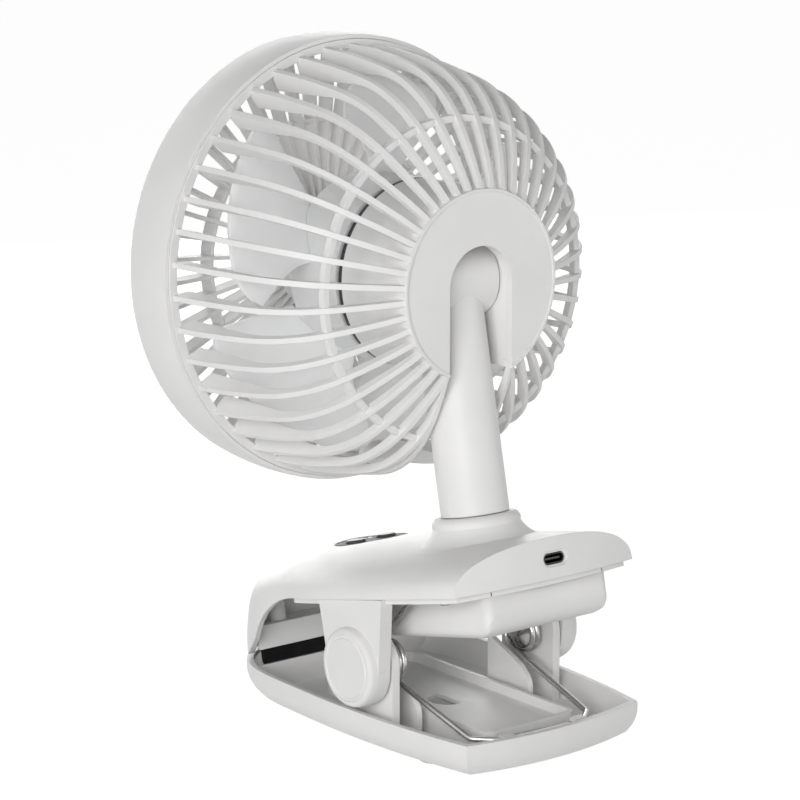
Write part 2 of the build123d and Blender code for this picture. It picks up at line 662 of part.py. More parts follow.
def cell_saddles():
    """Two low ribs across the box's floor, hollowed to carry the cells."""
    low = BOX_BOTTOM + BOX_WALL - 0.5
    middle = (BOX_FRONT + BOX_REAR) / 2
    half = SADDLE_THICKNESS / 2
    saddles = []
    for y in (middle - SADDLE_REACH, middle + SADDLE_REACH):
        rib = block(-2 * CELL_RADIUS, 2 * CELL_RADIUS, y - half, y + half, low, low + SADDLE_HEIGHT)
        for place in cell_middles():
            rib -= Pos(*place) * Rot(90, 0, 0) * Cylinder(CELL_RADIUS + SADDLE_GAP, CELL_LENGTH)
        saddles.append(rib)
    return saddles


def pivot_caps():
    """Round stepped caps that cover the pins on the ears."""
    r = CAP_RADIUS
    h = CAP_HEIGHT
    rim = CAP_DISC_RADIUS + 1.0
    edges = [
        Line((0, 0), (r, 0)),
        Line((r, 0), (r - 0.2, h - 2.0)),
        ThreePointArc((r - 0.2, h - 2.0), (r - 0.8, h - 0.6), (rim, h)),
        Line((rim, h), (rim - 0.3, h - 0.6)),
        Line((rim - 0.3, h - 0.6), (CAP_DISC_RADIUS, h - 0.6)),
        Line((CAP_DISC_RADIUS, h - 0.6), (CAP_DISC_RADIUS - 0.4, h - 0.1)),
        Line((CAP_DISC_RADIUS - 0.4, h - 0.1), (0, h - 0.1)),
        Line((0, h - 0.1), (0, 0)),
    ]
    cap = Pos(EAR_OUTER_X, 0, 0) * Rot(0, 90, 0) * revolve(Plane.XZ * make_face(edges), Axis.Z)
    return [UPPER * one for one in both_sides(cap)]


def mouth_plan(z, gap):
    """Plan of what fills the shell's mouth at a height, with a gap to its wall."""
    return shell_outline(z, WALL + gap, nose_reach(JAW_PLATE_TOP, WALL) + gap)


def plate_screw_places():
    """Where the two screws hold the jaw plate."""
    return [(x, JAW_PLATE_REAR - 6.5) for x in (-PLATE_SCREW_X, PLATE_SCREW_X)]


def jaw_plate():
    """Plate behind the shell's front lip, that carries the pad."""
    plate = extrude(mouth_plan(JAW_PLATE_BOTTOM, PLATE_GAP), amount=JAW_PLATE_TOP - JAW_PLATE_BOTTOM)
    plate = plate & block(-60, 60, -100, JAW_PLATE_REAR, 0, 60)
    posts = []
    for x, y in plate_screw_places():
        posts.append(Pos(x, y, 0) * tube_z(BOSS_RADIUS, 0.1, JAW_PLATE_TOP - 1, PLATE_POST_TOP))
    plate = plate + posts
    for x, y in plate_screw_places():
        plate -= Pos(x, y, JAW_PLATE_BOTTOM) * Cylinder(SCREW_HEAD + 0.3, 2 * SCREW_SINK)
        plate -= Pos(x, y, JAW_PLATE_BOTTOM) * Cylinder(SCREW_RADIUS, 4 * PLATE_POST_TOP)
    return UPPER * plate


def jaw_pad():
    """Black foam wedge that meets the lower jaw's grip."""
    depth = JAW_PLATE_BOTTOM + 12
    pad = extrude(mouth_plan(JAW_PLATE_BOTTOM - depth, PLATE_GAP + 0.6), amount=depth)
    pad = pad & block(-60, 60, -100, JAW_PLATE_REAR, -60, 60)
    return UPPER * (pad - world_floor_cut(GRIP_TOP_Z + PAD_GAP))


def control_panel():
    """Dark oval cover with the buttons' and lights' holes."""
    oval = extrude(Ellipse(PANEL_HALF_X - 0.1, PANEL_HALF_Y - 0.1), amount=PANEL_DEPTH - PANEL_SINK)
    panel = Pos(0, PANEL_Y, SHELL_TOP - PANEL_DEPTH) * oval
    for x in (-BUTTON_X, BUTTON_X):
        panel -= Pos(x, PANEL_Y, SHELL_TOP) * Cylinder(BUTTON_RADIUS + BUTTON_GAP, 8)
    for x, y in indicator_places():
        panel -= Pos(x, y, SHELL_TOP) * Cylinder(INDICATOR_RADIUS + 0.1, 8)
    return UPPER * panel


def button(x):
    """Round push button with a stem that reaches down to the control board's switch."""
    top = SHELL_TOP - PANEL_SINK + BUTTON_PROUD
    cap = Pos(0, 0, top - BUTTON_HEIGHT / 2) * Cylinder(BUTTON_RADIUS, BUTTON_HEIGHT)
    cap = fillet(cap.edges().group_by(Axis.Z)[-1], 0.5)
    low = BOARD_TOP + SWITCH_HEIGHT + BUTTON_TRAVEL + BUTTON_REST
    high = top - BUTTON_HEIGHT / 2
    stem = Pos(0, 0, (low + high) / 2) * Cylinder(1.6, high - low)
    return UPPER * Pos(x, PANEL_Y, 0) * (cap + stem)


def indicator_lights():
    """Light guides from the control board up to the panel."""
    low = BOARD_TOP + 0.1
    high = SHELL_TOP - PANEL_SINK
    light = Pos(0, 0, (low + high) / 2) * Cylinder(INDICATOR_RADIUS, high - low)
    return [UPPER * Pos(x, y, 0) * light for x, y in indicator_places()]


def control_board():
    """Circuit board under the panel, hung on two posts, with its two switches."""
    board = block(
        -17, 17, PANEL_Y - BOARD_FRONT, PANEL_Y + BOARD_REAR, BOARD_TOP - BOARD_THICKNESS, BOARD_TOP
    )
    switches = [Pos(x, PANEL_Y, BOARD_TOP + SWITCH_HEIGHT / 2) * Box(5, 5, SWITCH_HEIGHT)
                for x in (-BUTTON_X, BUTTON_X)]
    posts = [
        Pos(x, PANEL_Y + BOARD_REAR - 3, 0) * tube_z(1.8, 0.6, BOARD_TOP - 0.2, SHELL_TOP)
        for x in (-14, 14)
    ]
    return UPPER * (board + switches + under_roof(posts))


def charge_board():
    """Small board over the port, hung from the shell's roof on two posts."""
    low = PORT_Z + PORT_HEIGHT / 2 - 0.3
    high = low + BOARD_THICKNESS
    rear = SHELL_REAR - WALL - 1.6
    board = block(-12, 12, rear - 20, rear, low, high)
    chip = block(-4, 3, rear - 17, rear - 11, high - 0.1, high + 1.2)
    choke = Pos(7.5, rear - 15, high + 0.8) * Cylinder(2.6, 1.8)
    posts = [Pos(x, rear - 4, 0) * tube_z(1.8, 0.6, high - 0.2, SHELL_TOP) for x in (-10, 10)]
    return UPPER * (board + [chip, choke] + under_roof(posts))


def usb_socket():
    """Steel shell of the port with its tongue."""
    front = SHELL_REAR - WALL - 6.0
    rear = SHELL_REAR - PORT_CHAMFER - 0.3
    mouth = Plane(origin=(PORT_X, rear, PORT_Z), x_dir=(1, 0, 0), z_dir=(0, -1, 0))
    width = PORT_WIDTH - 0.6
    height = PORT_HEIGHT - 0.6
    outer = extrude(mouth * SlotOverall(width, height), amount=rear - front)
    inner = extrude(mouth * SlotOverall(width - 0.6, height - 0.6), amount=rear - front - 0.8)
    tongue = block(PORT_X - 3.3, PORT_X + 3.3, front, rear - 0.8, PORT_Z - 0.35, PORT_Z + 0.35)
    return UPPER * (outer - inner + tongue)


def battery_cells():
    """Two round cells side by side in the box."""
    body = Pos(0, CELL_NUB / 2, 0) * Rot(90, 0, 0) * Cylinder(CELL_RADIUS, CELL_LENGTH - CELL_NUB)
    nub = Pos(0, -CELL_LENGTH / 2 + CELL_NUB, 0) * Rot(90, 0, 0) * Cylinder(2.8, 2 * CELL_NUB)
    cell = body + nub
    return [UPPER * Pos(*place) * cell for place in cell_middles()]


def small_screw(length):
    """Round-headed screw that points up, the seat of its head at z = 0."""
    head = Pos(0, 0, -SCREW_HEAD_HEIGHT / 2) * Cylinder(SCREW_HEAD, SCREW_HEAD_HEIGHT)
    head = chamfer(head.edges().group_by(Axis.Z)[0], 0.5)
    return head + Pos(0, 0, length / 2) * Cylinder(SCREW_RADIUS - 0.05, length)


def tray_screws():
    """Four screws up through the tray into the shell's bosses."""
    seat = SHELL_BASE - TRAY_THICKNESS
    return [UPPER * Pos(x, y, seat) * small_screw(TRAY_SCREW_LENGTH) for x, y in tray_screw_places()]


def plate_screws():
    """Two screws up through the jaw plate, their heads sunk over the pad."""
    seat = JAW_PLATE_BOTTOM + SCREW_SINK
    length = PLATE_POST_TOP + 3.5 - seat
    return [UPPER * Pos(x, y, seat) * small_screw(length) for x, y in plate_screw_places()]


# ---------------------------------------------------------------- neck
def neck_tube():
    """Tube with a swivel spigot below and the tilt knuckle on top."""
    low = COLLAR_TOP + SWIVEL_GAP
    tube = Pos(0, 0, (low + KNUCKLE_HEIGHT) / 2) * Cylinder(NECK_RADIUS, KNUCKLE_HEIGHT - low)
    spigot = Pos(0, 0, (SPIGOT_LOW + low + 2) / 2) * Cylinder(SPIGOT_RADIUS, low + 2 - SPIGOT_LOW)
    knuckle = disc_x(KNUCKLE_RADIUS, -KNUCKLE_HALF_LENGTH, KNUCKLE_HALF_LENGTH, 0, KNUCKLE_HEIGHT)
    knuckle = fillet(knuckle.edges().filter_by(GeomType.CIRCLE), KNUCKLE_ROUND)
    bore_low = SPIGOT_LOW - 1
    bore_high = KNUCKLE_HEIGHT - AXLE_RADIUS - 6
    bore = Pos(0, 0, (bore_low + bore_high) / 2) * Cylinder(NECK_BORE, bore_high - bore_low)
    axle = disc_x(AXLE_RADIUS + AXLE_CLEARANCE, -30, 30, 0, KNUCKLE_HEIGHT)
    return UPPER * Pos(0, NECK_Y, 0) * (tube + [spigot, knuckle] - bore - axle)


def swivel_retainer():
    """Ring under the collar that keeps the neck in it."""
    top = SHELL_TOP - COLLAR_ROOT - SWIVEL_GAP
    ring = tube_z(RETAINER_RADIUS, SPIGOT_RADIUS, top - RETAINER_HEIGHT, top)
    return UPPER * Pos(0, NECK_Y, 0) * ring


def neck_wire():
    """Lead to the motor, straight along the neck's bore."""
    high = KNUCKLE_HEIGHT - AXLE_RADIUS - 6.2
    lead = Pos(0, NECK_BORE - WIRE_COVER, 0) * Pos(0, 0, (SPIGOT_LOW + high) / 2)
    return UPPER * Pos(0, NECK_Y, 0) * lead * Cylinder(WIRE_COVER - 0.1, high - SPIGOT_LOW)


# ---------------------------------------------------------------- head
def guard_line(depth=0.0):
    """Meridian of the guard in the XZ plane: outer edge of a rib, or its inner edge."""
    if depth:
        inner = GUARD_RADIUS - RIB_DEPTH_RIM
        start = (DISC_RADIUS - 1, DISC_THICKNESS - 0.4)
        middle = (DISC_RADIUS + 23.5, 12.4 + RIB_DEPTH_DISC)
        shoulder = (inner, 46.0)
        return [
            ThreePointArc(start, (DISC_RADIUS + 12.6, 4.9 + RIB_DEPTH_DISC), middle),
            ThreePointArc(middle, (GUARD_RADIUS - 10.0 - 0.3 * RIB_DEPTH_SHOULDER, 28.0), shoulder),
            Line(shoulder, (inner, GUARD_DEPTH)),
        ]
    rise = radians(20.3)
    turn = (DISC_RADIUS + 21.5, 11.0)
    shoulder = (GUARD_RADIUS - 4.7, 38.2)
    first = TangentArc((DISC_RADIUS - 0.3, 0), turn, tangent=(cos(rise), sin(rise)))
    second = TangentArc(turn, shoulder, tangent=first % 1)
    third = TangentArc(shoulder, (GUARD_RADIUS, GUARD_DEPTH), tangent=second % 1)
    return [first, second, third]


def meridian_face(depth):
    """Face of one rib: between the guard's outer line and its inner one."""
    outer = guard_line()
    inner = guard_line(depth)
    root = Line(outer[0] @ 0, inner[0] @ 0)
    tip = Line(outer[-1] @ 1, inner[-1] @ 1)
    return Plane.XZ * make_face(outer + inner + [root, tip])


def channel_space(grow, end):
    """U-shaped way for the neck: round about the disc's middle, open downward."""
    half = SLOT_HALF_WIDTH + grow
    column = block(-half, half, -120, 0, -1, end)
    return column + Pos(0, 0, (end - 1) / 2) * Cylinder(half, end + 1)


def rear_guard():
    """Ribbed guard: disc, ribs, rings and the walled channel for the neck."""
    rib = extrude(meridian_face(RIB_DEPTH_RIM), amount=RIB_THICKNESS / 2, both=True)
    step = 360 / RIB_COUNT
    channel_half = degrees(asin((SLOT_HALF_WIDTH + 1) / BLADE_TIP_RADIUS))
    angles = [RIB_PHASE + i * step for i in range(RIB_COUNT)]
    ribs = [Rot(0, 0, a) * rib for a in angles if abs((a - 90) % 360 - 180) > channel_half]
    disc = Pos(0, 0, DISC_THICKNESS / 2) * Cylinder(DISC_RADIUS, DISC_THICKNESS)
    rim = tube_z(DISC_RADIUS + 0.4, DISC_RADIUS - SKIRT_WALL, DISC_PROUD, SKIRT_DEPTH)
    rim = rim + tube_z(DISC_RADIUS + 0.4, DISC_RADIUS - 0.6, -DISC_PROUD, SKIRT_DEPTH)
    middle_end = MID_RING_PLACE + MID_RING_DEPTH
    middle = tube_z(MID_RING_RADIUS, MID_RING_RADIUS - MID_RING_WIDTH, MID_RING_PLACE, middle_end)
    base_inner = BASE_RING_RADIUS - BASE_RING_WIDTH
    base = tube_z(BASE_RING_RADIUS, base_inner, GUARD_DEPTH - 1.4, GUARD_DEPTH + 1.4)
    spigot = tube_z(BASE_RING_RADIUS, BASE_RING_RADIUS - 1.6, GUARD_DEPTH, GUARD_DEPTH + SPIGOT_REACH)
    walls = channel_space(CHANNEL_WALL, GUARD_DEPTH) - channel_space(0, GUARD_DEPTH + 2)
    walls = walls & block(-40, 40, -100, -DISC_RADIUS + 6, -5, GUARD_DEPTH)
    bowl = scale(Pos(0, 0, -GUARD_DEPTH) * revolve(meridian_face(RIB_DEPTH_RIM), Axis.Z), by=CHANNEL_SHRINK)
    walls = walls & Pos(0, 0, GUARD_DEPTH) * bowl
    guard = disc + [rim, middle, base, spigot] + ribs
    guard = guard - channel_space(0, GUARD_DEPTH - 3) + walls
    return HEAD * (guard - housing_space())


def housing_space():
    """Room that the drum takes inside the guard."""
    drum = Pos(0, 0, (SKIRT_DEPTH + HOUSING_DEPTH) / 2) * Cylinder(
        HOUSING_RADIUS + 0.02, HOUSING_DEPTH - SKIRT_DEPTH
    )
    spigot = Pos(0, 0, (DISC_THICKNESS + SKIRT_DEPTH) / 2) * Cylinder(
        DISC_RADIUS - SKIRT_WALL, SKIRT_DEPTH - DISC_THICKNESS
    )
    return drum + spigot


def knuckle_pocket(grow):
    """Room for the knuckle inside the drum: arched at the disc, square behind it."""
    arch = channel_space(grow, ARCH_DEPTH)
    half = SLOT_HALF_WIDTH + grow
    end = KNUCKLE_DEPTH + KNUCKLE_RADIUS + 0.4 + grow
    return arch + block(-half, half, -120, POCKET_TOP + grow, ARCH_DEPTH - grow, end)


def motor_housing():
    """Drum behind the disc with the knuckle's pocket and the motor's seat."""
    spigot_radius = DISC_RADIUS - SKIRT_WALL - 0.02
    spigot = Pos(0, 0, (DISC_THICKNESS + SKIRT_DEPTH + 1) / 2) * Cylinder(
        spigot_radius, SKIRT_DEPTH + 1 - DISC_THICKNESS
    )
    drum = Pos(0, 0, (SKIRT_DEPTH + HOUSING_DEPTH) / 2) * Cylinder(
        HOUSING_RADIUS, HOUSING_DEPTH - SKIRT_DEPTH
    )
    solid = spigot + drum
    hollow = Pos(0, 0, (HOUSING_DEPTH - HOUSING_WALL) / 2) * Cylinder(
        spigot_radius - HOUSING_WALL, HOUSING_DEPTH - HOUSING_WALL
    )
    housing = (solid - hollow) + (solid & knuckle_pocket(POCKET_WALL)) - knuckle_pocket(0)
    seat = Pos(0, 0, HOUSING_DEPTH + 0.8) * Cylinder(BEARING_RADIUS, 2.4)
    bore = Pos(0, 0, HOUSING_DEPTH + 1.4) * Cylinder(SHAFT_RADIUS + 0.05, 2.0)
    axle = KNUCKLE_LOCAL * Cylinder(AXLE_RADIUS, 2 * AXLE_HALF_LENGTH)
    return HEAD * (housing + seat - bore - axle)


def tilt_axle():
    """Steel axle through the knuckle, its ends held in the pocket's cheeks."""
    return HEAD * KNUCKLE_LOCAL * Cylinder(AXLE_RADIUS - 0.01, 2 * AXLE_HALF_LENGTH)


def friction_washers():
    """Thin washers between the knuckle and the pocket's cheeks."""
    washer = tube_z(9.0, AXLE_RADIUS + 0.02, KNUCKLE_HALF_LENGTH + 0.05, SLOT_HALF_WIDTH)
    return [HEAD * KNUCKLE_LOCAL * one for one in (washer, mirror(washer, about=Plane.XY))]


def mount_ring():
    """Dark ring on the drum's front edge."""
    end = HOUSING_DEPTH + MOUNT_RING_DEPTH
    return HEAD * tube_z(HOUSING_RADIUS, HOUSING_RADIUS - 5.0, HOUSING_DEPTH, end)


def motor_stator():
    """Laminated core with nine wound poles on its fixing plate."""
    low = HOUSING_DEPTH + 2.4
    middle = low + STATOR_LENGTH / 2
    bore = BEARING_RADIUS + 0.03
    core = tube_z(STATOR_RADIUS - 6, bore, low, low + STATOR_LENGTH)
    plate = tube_z(STATOR_RADIUS - 1, bore, HOUSING_DEPTH, HOUSING_DEPTH + 1.6)
    sleeve = tube_z(bore + 2.5, bore, HOUSING_DEPTH + 1.5, low + 1)
    pole = Pos(STATOR_RADIUS - 6, 0, middle) * Box(9, 3.4, STATOR_LENGTH - 4)
    pole += Pos(STATOR_RADIUS - 1.6, 0, middle) * Box(1.8, 7.6, STATOR_LENGTH - 3)
    poles = [Rot(0, 0, i * 360 / POLE_COUNT) * pole for i in range(POLE_COUNT)]
    return HEAD * (plate + [sleeve, core] + poles)


def front_cover():
    """Outer band with its bright rear lip and the deep vaned front grille."""
    r = BAND_RADIUS
    lip_inner = LIP_RADIUS - LIP_WALL
    inner = lip_inner - 1.0
    step_depth = GUARD_DEPTH + SPIGOT_REACH + 0.2
    front = BAND_FRONT
    edges = [
        Line((lip_inner, GUARD_DEPTH - LIP_PROUD), (LIP_RADIUS, GUARD_DEPTH - LIP_PROUD)),
        ThreePointArc((LIP_RADIUS, GUARD_DEPTH - LIP_PROUD), (r, GUARD_DEPTH + 9), (r - 0.9, front - 3)),
        ThreePointArc((r - 0.9, front - 3), (r - 1.9, front - 0.8), (r - 4.0, front)),
        Line((r - 4.0, front), (inner, front - 4)),
        Line((inner, front - 4), (inner, step_depth)),
        Line((inner, step_depth), (lip_inner, step_depth)),
        Line((lip_inner, step_depth), (lip_inner, GUARD_DEPTH - LIP_PROUD)),
    ]
    band = revolve(Plane.XZ * make_face(edges), Axis.Z)
    end = GRILLE_FRONT
    start = end - GRILLE_DEPTH
    hub = tube_z(CAP_OUTER, CAP_OUTER - 1.6, start, end)
    back = Pos(0, 0, start + 0.7) * Cylinder(CAP_OUTER - 0.5, 1.4)
    ring = tube_z(GRILLE_RING, GRILLE_RING - 1.4, start + 1, end - 0.6)
    near = CAP_OUTER - 0.8
    vane = block(near, inner + 0.4, -VANE_THICKNESS / 2, VANE_THICKNESS / 2, start, end - 1.2)
    step = 360 / GRILLE_VANES
    vanes = [Rot(0, 0, (i + 0.5) * step) * vane for i in range(GRILLE_VANES)]
    return HEAD * (band + [hub, back, ring] + vanes)


def centre_cap():
    """Plain round cap in the middle of the front grille."""
    seat = GRILLE_FRONT - GRILLE_DEPTH + 1.4
    cap = Pos(0, 0, GRILLE_FRONT + 0.2) * Cylinder(CAP_OUTER - 1.8, 3.2)
    cap = fillet(cap.edges().group_by(Axis.Z)[-1], 1.2)
    stem = Pos(0, 0, (seat + GRILLE_FRONT) / 2) * Cylinder(4.0, GRILLE_FRONT - seat)
    return HEAD * (cap + stem)


# ---------------------------------------------------------------- impeller
def blade_section(x, half_width):
    """Cambered section of the blade in the plane at x, on the helix of the blades."""
    pitch = degrees(atan(BLADE_LEAD / (2 * pi * x)))
    half = half_width / cos(radians(pitch))
    t = BLADE_THICKNESS / 2
    camber = half * BLADE_CAMBER
    top = ThreePointArc((-half, t / 2), (0, camber + t), (half, t / 2))
    low = ThreePointArc((half, -t / 2), (0, camber - t), (-half, -t / 2))
    ends = [Line((half, t / 2), (half, -t / 2)), Line((-half, -t / 2), (-half, t / 2))]
    plane = Plane(origin=(x, 0, BLADE_MID), x_dir=(0, 1, 0), z_dir=(1, 0, 0))
    return plane * Rot(0, 0, pitch) * make_face([top, ends[0], low, ends[1]])


def blade_outline():
    """Plan of a blade along the axis: swept rear edge, round corners, arc at the tip."""
    tip = BLADE_TIP_RADIUS

    def polar(radius, angle):
        return (radius * cos(radians(angle)), radius * sin(radians(angle)))

    root = HUB_RADIUS - 1.5
    rear = [polar(root, -20), polar(44.5, -24), polar(55.3, -31)]
    corner = polar(61.0, -34)
    tip_rear = polar(tip, -24)
    tip_front = polar(tip, 21)
    front = [polar(60.0, 26.5), polar(root, 20)]
    edges = [
        Spline(*rear, corner),
        ThreePointArc(corner, polar(65.2, -30.6), tip_rear),
        ThreePointArc(tip_rear, (tip, 0), tip_front),
        ThreePointArc(tip_front, polar(64.8, 25.2), front[0]),
        Line(front[0], front[1]),
        Line(front[1], rear[0]),
    ]
    return make_face(edges)


def impeller():
    """Hub cup with swept, twisted blades."""
    middle = (HUB_REAR + HUB_FRONT) / 2
    cup = Pos(0, 0, middle) * Cylinder(HUB_RADIUS, HUB_FRONT - HUB_REAR)
    cup = fillet(cup.edges().group_by(Axis.Z)[-1], HUB_ROUND)
    room = Pos(0, 0, middle - HUB_WALL) * Cylinder(HUB_RADIUS - HUB_WALL, HUB_FRONT - HUB_REAR)
    room = fillet(room.edges().group_by(Axis.Z)[-1], HUB_ROUND - HUB_WALL)
    twisted = loft([blade_section(x, width) for x, width in ((28, 30), (48, 42), (70, 50))])
    blade = twisted & (Pos(0, 0, HUB_REAR) * extrude(blade_outline(), amount=HUB_FRONT))
    blade = blade - Pos(0, 0, middle) * Cylinder(HUB_RADIUS - HUB_WALL / 2, 2 * HUB_FRONT)
    step = 360 / BLADE_COUNT
    blades = [Rot(0, 0, BLADE_PHASE + i * step) * blade for i in range(BLADE_COUNT)]
    boss = Pos(0, 0, HUB_FRONT - 1 - BOSS_LENGTH / 2) * Cylinder(5, BOSS_LENGTH)
    wheel = (cup - room) + [boss] + blades
    return HEAD * (wheel - Pos(0, 0, HUB_FRONT) * Cylinder(SHAFT_RADIUS, 4 * BOSS_LENGTH))


def motor_rotor():
    """Magnet ring and its steel can, glued into the hub."""
    low = HOUSING_DEPTH + 4.0
    high = low + STATOR_LENGTH + 3
    seat = HUB_FRONT - 1 - BOSS_LENGTH
    can = tube_z(ROTOR_RADIUS + 1.2, ROTOR_RADIUS - 1.8, low, high)
    return HEAD * (can + tube_z(ROTOR_RADIUS + 1.2, SHAFT_RADIUS + 0.02, high - 0.2, seat))


def motor_shaft():
    """Steel shaft from the housing's bearing through the hub."""
    low = HOUSING_DEPTH + 0.6
    high = HUB_FRONT + 3
    return HEAD * Pos(0, 0, (low + high) / 2) * Cylinder(SHAFT_RADIUS - 0.005, high - low)


def shaft_nut():
    """Hexagon nut that holds the hub on the shaft."""
    nut = Pos(0, 0, HUB_FRONT) * extrude(RegularPolygon(4.0, 6), amount=3)
    return HEAD * (nut - Pos(0, 0, HUB_FRONT) * Cylinder(SHAFT_RADIUS, 20))


# ---------------------------------------------------------------- output
os.makedirs("parts", exist_ok=True)
write("lower_jaw", lower_jaw())
write("rubber_feet", *rubber_feet())
write("hinge_pins", *hinge_pins())
write("torsion_spring", torsion_spring())
write("spring_arms", *spring_arms())
write("upper_shell", upper_shell())
write("battery_tray", battery_tray())
write("pivot_caps", *pivot_caps())
write("jaw_plate", jaw_plate())
write("jaw_pad", jaw_pad())
write("control_panel", control_panel())
write("power_button", button(-BUTTON_X))
write("timer_button", button(BUTTON_X))
write("indicator_lights", *indicator_lights())
write("control_board", control_board())
write("charge_board", charge_board())
write("usb_socket", usb_socket())
write("battery_cells", *battery_cells())
write("tray_screws", *tray_screws())
write("plate_screws", *plate_screws())
write("neck_tube", neck_tube())
write("swivel_retainer", swivel_retainer())
write("neck_wire", neck_wire())
write("rear_guard", rear_guard())
write("motor_housing", motor_housing())
write("tilt_axle", tilt_axle())
write("friction_washers", *friction_washers())
write("mount_ring", mount_ring())
write("motor_stator", motor_stator())
write("front_cover", front_cover())
write("centre_cap", centre_cap())
write("impeller", impeller())
write("motor_rotor", motor_rotor())
write("motor_shaft", motor_shaft())
write("shaft_nut", shaft_nut())
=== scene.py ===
"""Clip fan: finishes, spring wire, foam pad and studio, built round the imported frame.

All lengths are metres, +Z up. The fan blows toward -Y, its clip opens toward -Y, and X runs along
the clip's hinge.
"""

from __future__ import annotations

import json
import logging
import math
from dataclasses import dataclass, field
from enum import Enum

import bmesh
import bpy
from mathutils import Matrix, Vector

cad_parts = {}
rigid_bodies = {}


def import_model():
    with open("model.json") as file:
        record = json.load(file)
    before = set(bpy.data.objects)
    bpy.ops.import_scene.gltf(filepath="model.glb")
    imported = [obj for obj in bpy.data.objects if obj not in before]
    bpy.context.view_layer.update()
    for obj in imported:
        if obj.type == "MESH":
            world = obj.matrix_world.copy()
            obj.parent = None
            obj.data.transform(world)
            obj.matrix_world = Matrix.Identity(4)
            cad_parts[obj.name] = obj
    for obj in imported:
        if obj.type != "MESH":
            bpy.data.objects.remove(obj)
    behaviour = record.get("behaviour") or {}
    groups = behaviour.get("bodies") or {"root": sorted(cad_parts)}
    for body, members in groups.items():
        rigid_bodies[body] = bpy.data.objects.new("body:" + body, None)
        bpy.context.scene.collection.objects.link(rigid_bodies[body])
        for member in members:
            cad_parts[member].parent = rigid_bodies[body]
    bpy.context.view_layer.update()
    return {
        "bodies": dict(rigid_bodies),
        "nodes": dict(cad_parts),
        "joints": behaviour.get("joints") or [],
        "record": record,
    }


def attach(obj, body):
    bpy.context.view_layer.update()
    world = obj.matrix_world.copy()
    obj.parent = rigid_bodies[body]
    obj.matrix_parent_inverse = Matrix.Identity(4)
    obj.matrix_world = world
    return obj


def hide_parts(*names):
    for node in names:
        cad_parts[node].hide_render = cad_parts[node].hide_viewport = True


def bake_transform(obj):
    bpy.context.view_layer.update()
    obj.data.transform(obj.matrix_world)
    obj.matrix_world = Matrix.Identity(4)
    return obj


LOG = logging.getLogger("clip_fan")
MM = 0.001
MERGE = 0.002 * MM  # vertices nearer than this are one
FLAT = math.radians(0.4)  # faces that turn less than this are one flat


class Slot(Enum):
    """The record's finishes, by slot."""

    WHITE = "white_plastic"
    FOOT_RUBBER = "grey_rubber"
    STEEL = "steel"
    FOAM = "black_foam"
    PANEL = "panel_black"
    LIGHT = "light_guide"
    SOCKET = "socket_metal"
    BOARD = "circuit_board"
    CELL = "cell_wrap"
    SCREW = "screw_steel"
    BUTTON = "button_plastic"
    INNER = "inner_plastic"
    SHEATH = "wire_sheath"
    RING = "ring_black"
    WINDING = "winding"
    BLADE = "blade_plastic"
    ROTOR = "rotor_steel"


class Grain(Enum):
    """How a surface is broken up when seen close."""

    SPARK = "spark-eroded mould texture"
    CELLS = "open foam cells"
    DRAWN = "drawing marks along the wire"
    TURNS = "close turns of wire"
    SMOOTH = "polished mould"


